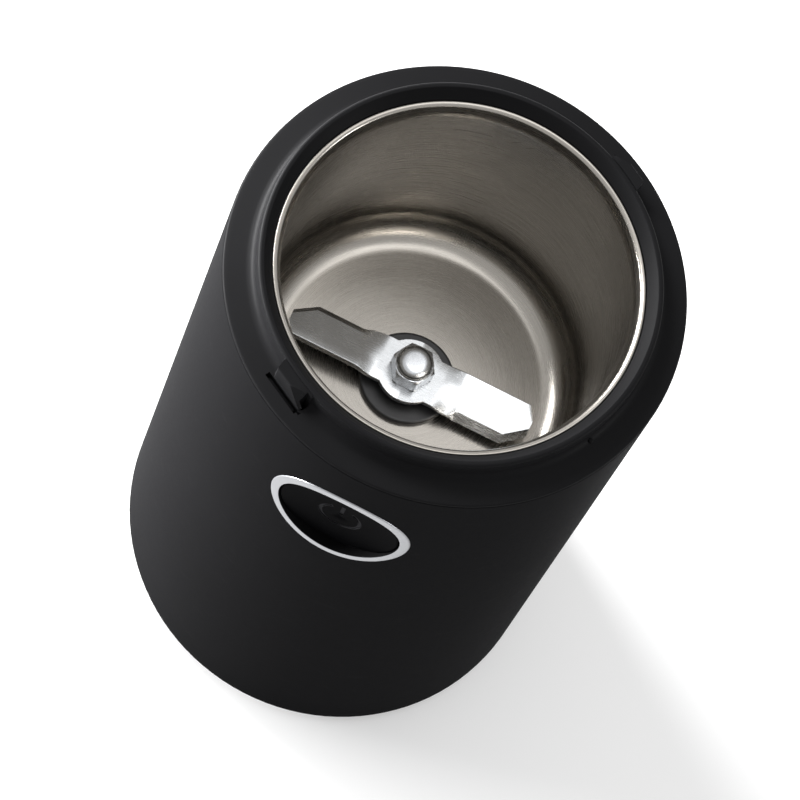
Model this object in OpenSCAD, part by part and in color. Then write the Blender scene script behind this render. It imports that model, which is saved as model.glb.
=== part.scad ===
// Electric spice grinder with a fixed steel grinding bowl, one push button on
// the front and a lid interlock in the collar. Millimetres, +Z up.
// The origin is the centre of the footprint, on the surface the feet stand on.
// The button faces -Y. Azimuths turn from -Y towards +X.

/* [Body] */
// Wall of the outer shell
shell_wall = 2.2; // [1.8:0.1:2.6]
// Radius of the rounded lower edge
base_round = 5; // [3:0.5:5.5]
// Height of the feet below the body
foot_proud = 1.5; // [1:0.5:4]
// Thickness of the base cover
cover_t = 2.7; // [2.3:0.1:3.5]
// Width of the shell lip that the base cover is drawn against
lip_w = 1.8; // [1.2:0.1:2]
// Thickness of that lip
lip_t = 2.2; // [1.6:0.2:3]

/* [Collar] */
// Height of the neck above the seam with the body
neck_h = 6.5; // [6:0.5:9]
// Wall of the neck that the lid goes over, outside the bowl rim
neck_w = 3; // [2.6:0.1:4]
// Concave fillet between the shelf and the neck
neck_fillet = 2.2; // [1.5:0.1:2.6]
// Rise of the sloping shelf from the seam to the fillet
shelf_rise = 1.4; // [1:0.1:1.8]
// Thickness of the shelf plate below the seam
shelf_t = 2.2; // [1.8:0.2:3]
// Depth of the funnel from the crest to the bowl rim
funnel_d = 2.3; // [1.6:0.1:3]
// Length of the skirt inside the shell, below the shelf
skirt_h = 2.3; // [2:0.1:4]

/* [Lid interlock] */
// Azimuth of the lug with the interlock slot
lug_az = -29; // [-33:0.2:-27]
// Azimuth of the plain lug opposite
far_lug_az = 150; // [147:0.1:153]
// Width of each lug at its foot
lug_w = 9.8; // [8.8:0.2:11]
// Reach of each lug from the neck
lug_reach = 2.2; // [1.6:0.1:2.4]
// Azimuth of the small stop nub
nub_az = 63.8; // [54:0.2:69]
// Width of the slot at the foot of the lug
slot_w = 1.0; // [0.9:0.05:1.2]
// Length of the slot
slot_len = 9.4; // [9:0.1:10.4]
// Travel of the interlock plunger
plunger_travel = 2; // [1:0.1:2.4]

/* [Bowl] */
// Inner radius of the grinding bowl
bowl_r = 34.8; // [31:0.1:42]
// Thickness of the steel
bowl_t = 0.7; // [0.5:0.1:0.7]
// Depth from the rim to the floor
bowl_depth = 59.2; // [52:0.2:75]
// Fillet between the wall and the floor
bowl_fillet = 7; // [4:0.5:9]
// Bend radius under the rolled rim
rim_bend = 0.3; // [0.2:0.1:0.6]
// Width of the rim from the bowl wall outwards
rim_w = 2; // [1.8:0.1:2.4]
// Radius of the hole in the bowl floor
bowl_hole_r = 6.9; // [6.9:0.1:7.6]

/* [Button] */
// Distance of the button centre below the seam
button_drop = 27; // [24:0.5:34]
// Outer radius of the bezel ring
bezel_r = 15; // [14.5:0.1:16]
// Radius of the opening in the bezel
button_hole_r = 13; // [12:0.1:13.2]
// Height of the bezel above the body surface
bezel_proud = 0.2; // [0.1:0.05:0.8]
// Depth of the button face below the body surface
button_depth = 1.8; // [1.6:0.1:2]
// Thickness of the button's front wall
button_wall = 1.7; // [1.4:0.1:1.9]
// Travel of the button
button_travel = 1.2; // [0.6:0.1:1.6]
// Free stem left between the pressed button and the switch
stem_spare = 0.3; // [0.2:0.05:1]
// Outer diameter of the engraved power mark
mark_d = 9.3; // [6:0.1:12]
// Width of the engraved line
mark_w = 0.8; // [0.5:0.1:1.2]

/* [Motor] */
// Length of the stator and armature stacks
stack_h = 26; // [20:1:34]
// Width of the stator along X
stator_w = 50; // [49.6:0.2:51]
// Width of the stator along Y
stator_d = 44; // [43:0.5:45]
// Radius of the armature
armature_r = 14; // [12:0.1:14]
// Air gap between armature and stator
air_gap = 0.5; // [0.4:0.05:0.8]
// Radius of the motor shaft
shaft_r = 2.5; // [2:0.1:2.6]
// Radius of the commutator
comm_r = 8.5; // [7.5:0.1:9]
// Length of the commutator
comm_len = 10; // [9:0.5:12]
// Length of the winding heads beyond the stack
head_len = 6; // [5:0.5:8]
// Radius of the cooling fan
fan_r = 19; // [15:0.5:19.2]
// Height of the cooling fan
fan_h = 7; // [5:0.5:10]
// Length of the bearing bosses
boss_len = 8.5; // [8:0.5:11]
// Space between the base cover and the motor
motor_lift = 6.3; // [5:0.1:10]
// Thickness of the rubber dampers
damper_t = 2.5; // [2.3:0.1:4]
// Clearance from the corners of the stator to the columns of the chassis
motor_clear = 0.9; // [0.5:0.1:4]

/* [Blade] */
// Tip radius of the blade
blade_r = 27; // [22:0.5:32]
// Width of the blade
blade_w = 10; // [8:0.5:12]
// Thickness of the blade
blade_t = 1.4; // [1:0.1:2]
// Pitch of the two wings
wing_pitch = 14; // [5:1:20]

/* [Chassis] */
// Wall of the chassis cup around the bowl
cup_wall = 1.5; // [1.3:0.1:1.5]
// Thickness of the chassis floor
floor_t = 2.5; // [2:0.1:4]
// Height of the ring that carries the bowl
seat_h = 3.2; // [2.6:0.1:5]
// Radius of the four columns that reach the base
column_r = 3.2; // [2.6:0.1:3.2]

/* [Fasteners] */
// Thread radius of the base screws
base_screw_r = 1.5; // [1.25:0.05:1.6]
// Length of the base screws
base_screw_len = 12; // [8:0.5:20]
// Thread radius of the collar screws
collar_screw_r = 1.25; // [1:0.05:1.3]
// Length of the collar screws
collar_screw_len = 6.4; // [5:0.1:6.6]
// Radius of the through bolts in the motor
bolt_r = 1.5; // [1.25:0.05:1.5]

/* [Cord inlet] */
// Bore of the gland
gland_bore_r = 3.1; // [2.5:0.1:3.6]
// Height of the gland above the underside of the body
gland_rise = 14; // [13:0.5:16]

/* [Hidden] */
$fn = 96;

fit_gap = 0.05;    // clearance of fixed fits
run_gap = 0.04;    // radial clearance of the shaft in its bearings
slide_gap = 0.2;   // clearance of the moving button and plunger
hole_clear = 0.1;  // radial clearance of a screw or stud in a through hole
head_clear = 0.3;  // radial clearance of a sunk screw head
cut = 0.5;         // how far a cutter passes a face
wire_r = 0.9;      // radius of a power lead
thin_wire_r = 0.7; // radius of a switch lead
past = 5;          // how far a radial cutter runs past the body
turn_gap = 0.05;   // gap between the closed turns of a spring
screw_tip = 0.3;   // chamfer at the tip of a screw

// Levels, from the ground upwards
z_cover = foot_proud;
z_lip = z_cover + cover_t;
z_lip_top = z_lip + lip_t;
z_lower_boss = z_lip + motor_lift;
bracket_t = 2;
z_lower_plate = z_lower_boss + boss_len - bracket_t;
z_brush_plate = z_lower_boss + boss_len;
brush_plate_t = 2;
comm_clear = 4;
z_comm = z_brush_plate + comm_clear;
riser_gap = 1;
z_head = z_comm + comm_len + riser_gap;
z_stack = z_head + head_len;
z_stack_top = z_stack + stack_h;
z_head_top = z_stack_top + head_len;
fan_clear = 1.5;
z_fan = z_head_top + fan_clear;
z_upper_boss = z_fan + fan_h + fan_clear;
boss_above = 2;
z_upper_plate = z_upper_boss + boss_len - boss_above - bracket_t;
z_floor = z_upper_plate + bracket_t + damper_t;
z_floor_top = z_floor + floor_t;
z_bowl_under = z_floor_top + seat_h;
z_bowl_floor = z_bowl_under + bowl_t;
z_rim = z_bowl_floor + bowl_depth;
z_crest = z_rim + funnel_d;
z_seam = z_crest - neck_h;
z_shelf_under = z_seam - shelf_t;
z_skirt = z_shelf_under - skirt_h;
z_button = z_seam - button_drop;

// Radii, from the bowl outwards
bowl_clear = 0.25;
collar_clear = 0.15;
rim_clear = 0.1;
bowl_out_r = bowl_r + bowl_t;
cup_in_r = bowl_out_r + bowl_clear;
cup_r = cup_in_r + cup_wall;
collar_bore_r = cup_r + collar_clear;
rim_r = bowl_r + rim_w;
rim_seat_r = rim_r + rim_clear;
neck_r = rim_seat_r + neck_w;
y_slot = neck_r + lug_reach;

// The body is as wide as what it holds needs: the bowl with the button stack in front of it,
// the lugs with the slot, or the motor between its columns
board_t = 1;
switch_d = 2.6;
button_stack = collar_clear + board_t + switch_d + button_travel + stem_spare + button_wall + button_depth;
slot_edge = 0.7;
stator_corner = 8;
boss_wall = 1;
boss_clear = 0.4;
cover_land = 0.4;
cover_clear = 0.2;
motor_reach = norm([stator_w / 2 - stator_corner, stator_d / 2 - stator_corner]) + stator_corner;
motor_ring = motor_clear + 2 * column_r + boss_wall + boss_clear + lip_w + cover_land + base_round;
body_r = max(cup_r + button_stack, y_slot + slot_w + slot_edge + shell_wall, motor_reach + motor_ring);
shell_in_r = body_r - shell_wall;
skirt_clear = 0.2;
skirt_r = shell_in_r - skirt_clear;
skirt_w = 1.7;
flange_clear = 0.3;
flange_r = skirt_r - flange_clear;
cover_open_r = body_r - base_round - cover_land;
cover_r = cover_open_r - cover_clear;
lip_r = cover_open_r - lip_w;

// Chassis details
flange_t = 2.5;
gasket_t = 1.5;
z_cup_top = z_rim - bowl_t - gasket_t;
z_flange = z_skirt - flange_t;
damper_x = 15.5;
damper_y = 12.5;
damper_head = [2.8, 1.6];
seat_ring_w = 2;
seat_ring_gap = 1.3;
seat_ring_r = norm([damper_x, damper_y]) + damper_head[0] + seat_ring_gap + seat_ring_w / 2;
column_az = 45;
column_foot = 2.8;
z_column = z_lip + column_foot;
column_at = lip_r - boss_clear - boss_wall - column_r;

// Collar details
edge_round = 0.25;
edge_bevel = 0.15;
shelf_edge = 0.5;
shelf_inset = 0.1;
crest_round = 0.45;
crest_inner_round = 0.3;
crest_w = 1.3;
crest_in_r = neck_r - crest_w;
lug_root_in = 0.9;
lug_face_in = 1.5;
lug_step = 0.3;
lug_root = 1;
lug_foot = 0.5;
lug_ramp = [4.3, 2.3, 4.8];
nub_r = 0.5;
nub_h = 1.1;
nub_out = 0.75;
collar_boss_r = 2.85;
collar_boss_at = skirt_r - collar_boss_r;
collar_screw_az = 15;
collar_head_r = 2.3;
collar_head_h = 1.5;
screw_end_gap = 0.4;

// Bush in the bowl floor
bush_r = bowl_hole_r - hole_clear;
bush_flange_r = 10;
bush_flange_t = 1.5;
bush_bore_r = shaft_r + 0.7;
seal_r = shaft_r + 2.5;
seal_h = 2;
seal_sunk = 0.2;
z_bush_top = z_bowl_floor + bush_flange_t;
bush_edge = 0.6;

// Button details
y_button_face = body_r - button_depth;
y_button_back = y_button_face - button_wall;
y_switch_front = y_button_back - button_travel - stem_spare;
y_board = y_switch_front - switch_d;
button_r = button_hole_r - slide_gap;
button_skirt_w = 1.3;
button_lip_w = 1.4;
button_lip_t = 0.75;
bezel_seat = 0.8;
sleeve_w = 1.5;
sleeve_gap = 0.2;
lip_gap = 0.25;
lip_slope = 1;
sleeve_r = button_hole_r + sleeve_w;
y_sleeve = sqrt(pow(shell_in_r, 2) - pow(sleeve_r, 2)) - sleeve_gap;
y_button_lip = y_sleeve - lip_gap - button_lip_t;
button_dish = 0.35;
button_round = 0.5;
mark_deep = 0.25;
mark_gap_angle = 64;
mark_bar_up = 1.1;
mark_bar_over = 0.65;
mark_cut_h = 1;
switch_side = 6.2;
switch_pin_r = 1.75;
switch_pin_in = 1;
board_side = 22;
board_screw_x = 8.5;
board_screw_r = 1;
board_screw_len = 3;
board_boss_r = 2;
board_boss_root = 1.9;
board_head_r = 1.8;
board_head_h = 1.1;
board_screw_end = 0.2;

// Interlock details, in the local frame of the lug: X along the rim, -Y outward
window_in = 1.15;
window_w = 1.35;
window_d = 1.6;
window_lip = 0.5;
plunger_w = 8;
plunger_body = 2.75;
plunger_front = 0.15;
plunger_room = 0.6;
plunger_back = 0.3;
blade_thin = slot_w - 2 * slide_gap;
y_blade = y_slot + slot_w / 2 - blade_thin / 2;
plunger_in = y_blade - plunger_body;
plunger_out = y_blade + blade_thin + plunger_front;
z_plunger_top = z_shelf_under - plunger_back;
plunger_h = 9;
z_plunger = z_plunger_top - plunger_h;
blade_below = 1.2;
latch_switch_h = 6;
latch_switch_w = 8.3;
latch_switch_d = 4.4;
latch_pin_r = 0.8;
latch_pin_in = 1.4;
latch_pin_h = plunger_travel + 2 * slide_gap;
latch_pin_x = -2.2;
z_latch_ledge = z_plunger - latch_pin_h - latch_switch_h;
latch_ledge_t = 2;
ledge_edge = 0.4;
ledge_root = 2.2;
spring_x = 2.2;
spring_r = 1.25;
spring_wire_r = 0.3;
spring_turns = 5;
spring_y = plunger_in + spring_r;
latch_off_cup = 0.9;
y_latch_back = cup_r + latch_off_cup;
y_latch_front = y_latch_back + latch_switch_d;
latch_x0 = -8.6;

// Motor details
boss_r = 7.5;
bearing_r = 5;
bearing_h = 7;
shaft_end_gap = 0.3;
leg_r = 2.6;
leg_inset = 2.8;
leg_at = stator_w / 2 - leg_inset;
bearing_stop = 0.5;
window_r = 3;
window_at = boss_r + 4.2;
pole_lip = 0.6;
coil_w = 15;
coil_neck = 9.3;
coil_y0 = armature_r + air_gap + pole_lip;
coil_t = 4;
coil_gap = 0.3;
coil_corner = 4;
pole_gap = [4, 2.8];
plate_d = 38;
lower_plate_d = 22;
damper_r = 4.5;
damper_screw_r = 1.5;
nut_r = 3;
nut_h = 2;
bolt_head_r = 2.9;
bolt_head_h = 2.2;
bolt_end = 0.3;
brush_w = 5;
brush_len = 11;
brush_gap = 0.3;
brush_play = 0.1;
holder_wall = 1;
holder_len = 16;
holder_clear = 2.5;
y_holder = comm_r + holder_clear;
z_brush = z_comm + comm_len / 2 - brush_gap;
brush_plate_w = 36;
brush_plate_out = 10;
brush_block = 8;
brush_coil_r = 1.7;
brush_wire_r = 0.3;
plate_screw_x = 14.5;
plate_screw_r = 1.2;
plate_head = [2.1, 1.3];
coil_turns = 5;
armature_slots = 10;
slot_r = 2.1;
slot_mouth = 1.6;
slot_at = armature_r - slot_r - 1.54;
slot_liner = 0.2;
comm_bars = 20;
bar_gap = 0.5;
bar_deep = 1;
riser = [1, 2];
fan_blades = 9;
fan_blade_t = 1.2;
fan_plate_t = 1.2;
fan_hub_w = 3.5;
fan_root = 2;
fan_sweep = 25;
fan_drop = 0.5;
cushion_r = boss_r + 2;
cushion_in = 5.5;
cushion_h = 6;
cushion_rise = motor_lift - cushion_h / 2;
socket_w = 1.8;

// Blade stack
shaft_flat = 0.5;
blade_gap = 0.5;
spacer_r = 5;
spacer_foot_w = 1.2;
spacer_h = 2;
z_spacer = z_bush_top + blade_gap;
z_blade = z_spacer + spacer_h;
blade_nut_r = 4.6;
blade_nut_h = 6.1;
shaft_in_nut = 4.6;
nut_spare = 0.2;
z_shaft_top = z_blade + blade_t + shaft_in_nut;
z_shaft = z_lower_boss + boss_len - bearing_h + shaft_end_gap;
blade_hub_r = 7;
wing_root = 2;
wing_in = 1;
wing_cut = [4.5, 3.5];
wing_heel = [1.8, 3];
edge_inset = 1.5;
edge_angle = 32;
edge_land = 0.2;
edge_w = 4.4;
edge_back = 4;
nut_edge = 1.6;
nut_dome = 2.4;
nut_flank = 0.64;
nut_waist = blade_nut_r - nut_flank;

// Base details
foot_r = 5;
foot_inset = 9.4;
foot_at = cover_r - foot_inset;
foot_seat = 1;
foot_stem_r = 1.5;
foot_edge = 0.6;
foot_barb = 0.7;
vent_count = 20;
vent_start = 9;
vent_w = 2.2;
vent_in = 13.5;
vent_out = 24.5;
base_head_r = 2.8;
base_head_h = 2;
base_head_deep = 3.4;

// Circuit parts at the back, on a board that slides up two rails
rail_x = 17;
rail_w = 3;
rail_mid = rail_x + 0.5;
rail_deep = 1;
rail_lip = 1.2;
rail_foot = 2;
rail_top_gap = 0.2;
board_back = 12.3;
power_t = 1.5;
y_power = shell_in_r - power_t - board_back;
power_w = 2 * (rail_x - hole_clear);
power_h = 40;
z_power = z_stack - 4;
capacitor = [13, 6, 11];
capacitor_at = [-14, 24];
triac_size = [10, 3, 9];
triac_at = [4, 20];
sink_size = [12, 4, 16];
sink_at = [2.5, 19];
sink_fins = 4;
sink_gap = 1.6;
sink_back = 1.2;
block_size = [16, 7, 9];
block_at = [-13, 4];
block_holes = 3;
block_pitch = 5;
block_hole_r = 1.5;
block_hole_deep = 4;

// Gland
gland_neck_w = 2.3;
gland_flange_w = 3.9;
gland_neck_r = gland_bore_r + gland_neck_w;
gland_flange_r = gland_bore_r + gland_flange_w;
gland_out = 1.2;
gland_seat = 1;
gland_clear = 0.1;
gland_in_t = 2;
gland_overlap = 1;
gland_wall_gap = 0.9;
y_gland_in = shell_in_r - gland_wall_gap - gland_in_t;
z_gland = z_cover + gland_rise;

// Helpers

// Points of an arc, centre c, radius r, from angle a0 to a1
function arc(c, r, a0, a1, n = 8) =
    [for (i = [0 : n]) c + r * [cos(a0 + (a1 - a0) * i / n), sin(a0 + (a1 - a0) * i / n)]];

// Places children at an azimuth, where local -Y is outward
module at_az(az) {
    rotate([0, 0, az]) children();
}

// Repeats children n times around the axis
module around(n, start = 0) {
    for (i = [0 : n - 1]) at_az(start + 360 * i / n) children();
}

// Turns +Z outward through the front, so a height becomes a distance in front of the axis
module facing_front(z) {
    translate([0, 0, z]) rotate([90, 0, 0]) children();
}

module tube(r_out, r_in, h) {
    difference() {
        cylinder(r = r_out, h = h);
        translate([0, 0, -cut]) cylinder(r = r_in, h = h + 2 * cut);
    }
}

// Rectangle with true round corners
module round_rect(w, d, r) {
    square([w - 2 * r, d], center = true);
    square([w, d - 2 * r], center = true);
    for (x = [-1, 1], y = [-1, 1])
        translate([x * (w / 2 - r), y * (d / 2 - r)]) circle(r = r);
}

// Pan head screw, head upwards from z = 0, thread downwards
module pan_screw(r, len, head_r, head_h) {
    round = 0.6 * head_h;
    rotate_extrude() polygon(concat(
        [[0, -len], [r - screw_tip, -len], [r, -len + 2 * screw_tip], [r, 0], [head_r, 0]],
        arc([head_r - round, head_h - round], round, 0, 90, 4),
        [[0, head_h]]));
}

// Rings of points around a path, each square to the path, joined as one closed tube
module sweep(path, r, sides = 8) {
    n = len(path);
    function tangent(i) = let (a = path[max(i - 1, 0)], b = path[min(i + 1, n - 1)])
        (b - a) / norm(b - a);
    function side(t) = let (s = cross(t, abs(t[2]) > 0.9 ? [0, 1, 0] : [0, 0, 1])) s / norm(s);
    // the side vector is carried along the path so that the tube does not twist
    function carried(i, s) = i == n ? [] :
        let (t = tangent(i), u = s - (s * t) * t, v = u / norm(u)) concat([[t, v]], carried(i + 1, v));
    frames = carried(0, side(tangent(0)));
    points = [for (i = [0 : n - 1], k = [0 : sides - 1])
        let (t = frames[i][0], u = frames[i][1], w = cross(t, u), a = 360 * k / sides)
            path[i] + r * (cos(a) * u + sin(a) * w)];
    walls = [for (i = [0 : n - 2], k = [0 : sides - 1], half = [0, 1])
        let (a = i * sides + k, b = i * sides + (k + 1) % sides)
            half == 0 ? [a, a + sides, b + sides] : [a, b + sides, b]];
    polyhedron(points, concat([[for (k = [0 : sides - 1]) k]], walls,
        [[for (k = [sides - 1 : -1 : 0]) (n - 1) * sides + k]]), convexity = 8);
}

// Compression spring with one closed turn at each end, standing on z = 0
module coil_spring(r, wire, h, turns, steps = 14) {
    closed = 2 * wire + turn_gap;
    pitch = (h - 2 * wire - 2 * closed) / (turns - 2);
    sweep([for (i = [0 : turns * steps])
        let (t = i / steps, open = max(0, min(t - 1, turns - 2)), end = min(t, 1) + max(0, t - turns + 1))
            [r * cos(360 * t), r * sin(360 * t), wire + open * pitch + end * closed]], wire, 6);
}

// Smooth path through hand-set points
function spline(p, steps = 4) = [for (i = [0 : len(p) - 2], k = [0 : (i == len(p) - 2 ? steps : steps - 1)])
    let (a = p[max(i - 1, 0)], b = p[i], c = p[i + 1], d = p[min(i + 2, len(p) - 1)], t = k / steps)
        0.5 * (2 * b + (c - a) * t + (2 * a - 5 * b + 4 * c - d) * t * t
            + (3 * b - a - 3 * c + d) * t * t * t)];

// Point at an azimuth, radius and height
function polar(az, r, z) = [r * sin(az), -r * cos(az), z];

// Casing

module outer_shell() color("#1b1b1d") difference() {
    rotate_extrude($fn = 180) polygon(concat(
        [[lip_r, z_lip], [cover_open_r, z_lip], [cover_open_r, z_cover]],
        arc([body_r - base_round, z_cover + base_round], base_round, -90, 0, 10),
        arc([body_r - edge_round, z_seam - edge_round], edge_round, 0, 90, 3),
        [[shell_in_r, z_seam], [shell_in_r, z_lip_top], [lip_r, z_lip_top]]));
    button_cutter(sleeve_r + fit_gap, 0);
    // shallow seat of the bezel flange
    difference() {
        button_cutter(bezel_r + fit_gap, 0);
        translate([0, 0, z_button - 2 * bezel_r])
            cylinder(r = body_r - bezel_seat, h = 4 * bezel_r, $fn = 180);
    }
    gland_cutter(gland_neck_r + fit_gap, shell_in_r - shell_wall);
    gland_cutter(gland_flange_r + gland_clear, body_r - gland_seat);
}

// Round cutter through the front wall, from a distance y0 in front of the axis
module button_cutter(r, y0) {
    facing_front(z_button) translate([0, 0, y0]) cylinder(r = r, h = body_r + past - y0);
}

// Round cutter through the back wall, from a distance y0 behind the axis
module gland_cutter(r, y0) {
    translate([0, y0, z_gland]) rotate([-90, 0, 0]) cylinder(r = r, h = body_r + past - y0);
}

shelf_edge_at = [body_r - shelf_inset - shelf_edge, z_seam + edge_bevel];
neck_fillet_at = [neck_r + neck_fillet, z_seam + shelf_rise + neck_fillet];

// Direction square to the shelf, which is tangent to its outer edge and to the fillet
function shelf_normal() = let (d = neck_fillet_at - shelf_edge_at)
    atan2(d[1], d[0]) - acos((shelf_edge + neck_fillet) / norm(d));

function collar_profile() = concat(
    [[collar_bore_r, z_shelf_under], [skirt_r - skirt_w, z_shelf_under], [skirt_r - skirt_w, z_skirt],
        [skirt_r, z_skirt], [skirt_r, z_seam], [body_r - edge_round, z_seam],
        [body_r - shelf_inset, z_seam + edge_bevel]],
    arc(shelf_edge_at, shelf_edge, 0, shelf_normal(), 4),
    arc(neck_fillet_at, neck_fillet, 180 + shelf_normal(), 180, 10),
    arc([neck_r - crest_round, z_crest - crest_round], crest_round, 0, 90, 4),
    arc([crest_in_r + crest_inner_round, z_crest - crest_inner_round], crest_inner_round, 90, 150, 3),
    [[rim_seat_r, z_rim], [rim_seat_r, z_cup_top], [collar_bore_r, z_cup_top]]);

module collar_ring() color("#2b2b2d") difference() {
    union() {
        rotate_extrude($fn = 180) polygon(collar_profile());
        at_az(lug_az) lug();
        at_az(far_lug_az) lug();
        at_az(nub_az) translate([0, -(neck_r + nub_out), z_seam + shelf_rise - nub_r])
            cylinder(r = nub_r, h = nub_r + nub_h);
        around(4, collar_screw_az) translate([0, -collar_boss_at, z_skirt])
            cylinder(r = collar_boss_r, h = skirt_h + shelf_t / 2);
    }
    around(4, collar_screw_az) translate([0, -collar_boss_at, z_skirt - cut])
        cylinder(r = collar_screw_r + fit_gap, h = collar_screw_len - flange_t + screw_end_gap + cut);
    at_az(lug_az) latch_cutter();
}

// Lug on the neck: one side stands nearly square to the rim, the other falls as a ramp to the shelf
module lug() {
    foot = lug_w / 2;
    root = foot - lug_root_in;
    z0 = z_seam + lug_foot;
    z1 = z_crest - crest_round / 2;
    difference() {
        translate([0, 0, z0]) linear_extrude(height = z1 - z0)
            polygon([[-root, -(neck_r - lug_root)], [foot, -(neck_r - lug_root)], [foot, -y_slot],
                [lug_face_in - foot, -y_slot], [-root, -(neck_r + lug_step)]]);
        translate([foot, -y_slot, z1]) ramp_cutter();
    }
}

// Cuts the corner at the origin off by a plane that meets its three edges at the ramp's lengths
module ramp_cutter() {
    reach = lug_ramp * (1 + cut / lug_ramp[0] + cut / lug_ramp[1] + cut / lug_ramp[2]);
    translate([cut, -cut, cut]) polyhedron(
        [[0, 0, 0], [-reach[0], 0, 0], [0, reach[1], 0], [0, 0, -reach[2]]],
        [[0, 1, 2], [0, 2, 3], [0, 3, 1], [1, 3, 2]]);
}

// Slot at the foot of the lug, the window beside it and the room for the plunger
module latch_cutter() {
    translate([-slot_len / 2, -y_slot - slot_w, z_shelf_under - cut])
        cube([slot_len, slot_w, z_crest - z_shelf_under]);
    translate([lug_w / 2 - window_in, -y_slot + window_lip, z_shelf_under - cut])
        cube([window_w, window_d, neck_h + shelf_t + 2 * cut]);
    translate([-plunger_w / 2 - plunger_room, -shell_in_r - cut, z_skirt - cut])
        cube([plunger_w + 2 * plunger_room, shell_in_r + cut - plunger_in + plunger_back, skirt_h + cut]);
}

module collar_screws() color("#9a9da1")
    around(4, collar_screw_az) translate([0, -collar_boss_at, z_flange]) mirror([0, 0, 1])
        pan_screw(collar_screw_r, collar_screw_len, collar_head_r, collar_head_h);

module base_cover() color("#232325") difference() {
    union() {
        translate([0, 0, z_cover]) cylinder(r = cover_r, h = cover_t, $fn = 180);
        around(4, column_az) translate([0, -column_at, z_lip - cut])
            cylinder(r = column_r + boss_wall, h = column_foot + cut);
        translate([0, 0, z_lip - cut])
            cylinder(r = cushion_r + fit_gap + socket_w, h = cushion_rise + cushion_h + cut);
    }
    translate([0, 0, z_lip + cushion_rise])
        cylinder(r = cushion_r + fit_gap, h = cushion_h + cut);
    translate([0, 0, z_lip]) cylinder(r = cushion_r - socket_w, h = cushion_rise + cut);
    around(4, column_az) translate([0, -column_at, z_cover - cut]) {
        cylinder(r = base_screw_r + hole_clear, h = cover_t + column_foot + 2 * cut);
        cylinder(r = base_head_r + head_clear, h = base_head_deep + cut);
    }
    around(4) translate([0, -foot_at, z_cover - cut]) {
        cylinder(r = foot_r + hole_clear, h = foot_seat + cut);
        cylinder(r = foot_stem_r + fit_gap, h = cover_t + 2 * cut);
    }
    around(vent_count, vent_start) translate([-vent_w / 2, -vent_out, z_cover - cut])
        cube([vent_w, vent_out - vent_in, cover_t + 2 * cut]);
}

module base_screws() color("#9a9da1")
    around(4, column_az) translate([0, -column_at, z_cover + base_head_deep]) mirror([0, 0, 1])
        pan_screw(base_screw_r, base_screw_len, base_head_r, base_head_h);

module rubber_feet() color("#101011")
    around(4) translate([0, -foot_at, 0]) rotate_extrude() polygon(concat(
        [[0, 0]], arc([foot_r - foot_edge, foot_edge], foot_edge, -90, 0, 4),
        [[foot_r, foot_proud + foot_seat], [foot_stem_r, foot_proud + foot_seat], [foot_stem_r, z_lip],
            [foot_stem_r + foot_barb, z_lip], [foot_stem_r, z_lip + foot_barb], [0, z_lip + foot_barb]]));

// Bowl

function bowl_wall(inner) = let (d = inner ? 0 : bowl_t) concat(
    [[bowl_hole_r, z_bowl_floor - d]],
    arc([bowl_r - bowl_fillet, z_bowl_floor + bowl_fillet], bowl_fillet + d, -90, 0, 8),
    arc([bowl_r + rim_bend + bowl_t, z_rim - rim_bend - bowl_t], rim_bend + bowl_t - d, 180, 90, 6),
    [[rim_r, z_rim - d]]);

module grinding_bowl() color("#c9c6c2")
    rotate_extrude($fn = 180) polygon(concat(bowl_wall(true),
        [for (i = [len(bowl_wall(false)) - 1 : -1 : 0]) bowl_wall(false)[i]]));

module bowl_gasket() color("#3a3a3c")
    translate([0, 0, z_cup_top]) tube(rim_r, bowl_out_r + rim_bend + rim_clear, gasket_t);

module bowl_bush() color("#2c2c2e") difference() {
    rotate_extrude() polygon(concat(
        [[0, z_floor], [bush_r, z_floor], [bush_r, z_bowl_floor], [bush_flange_r, z_bowl_floor]],
        arc([bush_flange_r - bush_edge, z_bush_top - bush_edge], bush_edge, 0, 90, 4),
        [[0, z_bush_top]]));
    translate([0, 0, z_floor - cut]) cylinder(r = bush_bore_r, h = z_bush_top - z_floor + 2 * cut);
    translate([0, 0, z_bush_top - seal_h]) cylinder(r = seal_r, h = seal_h + cut);
}

module shaft_seal() color("#5d2b22")
    translate([0, 0, z_bush_top - seal_h]) tube(seal_r - fit_gap, shaft_r + run_gap, seal_h - seal_sunk);

// Chassis

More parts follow.
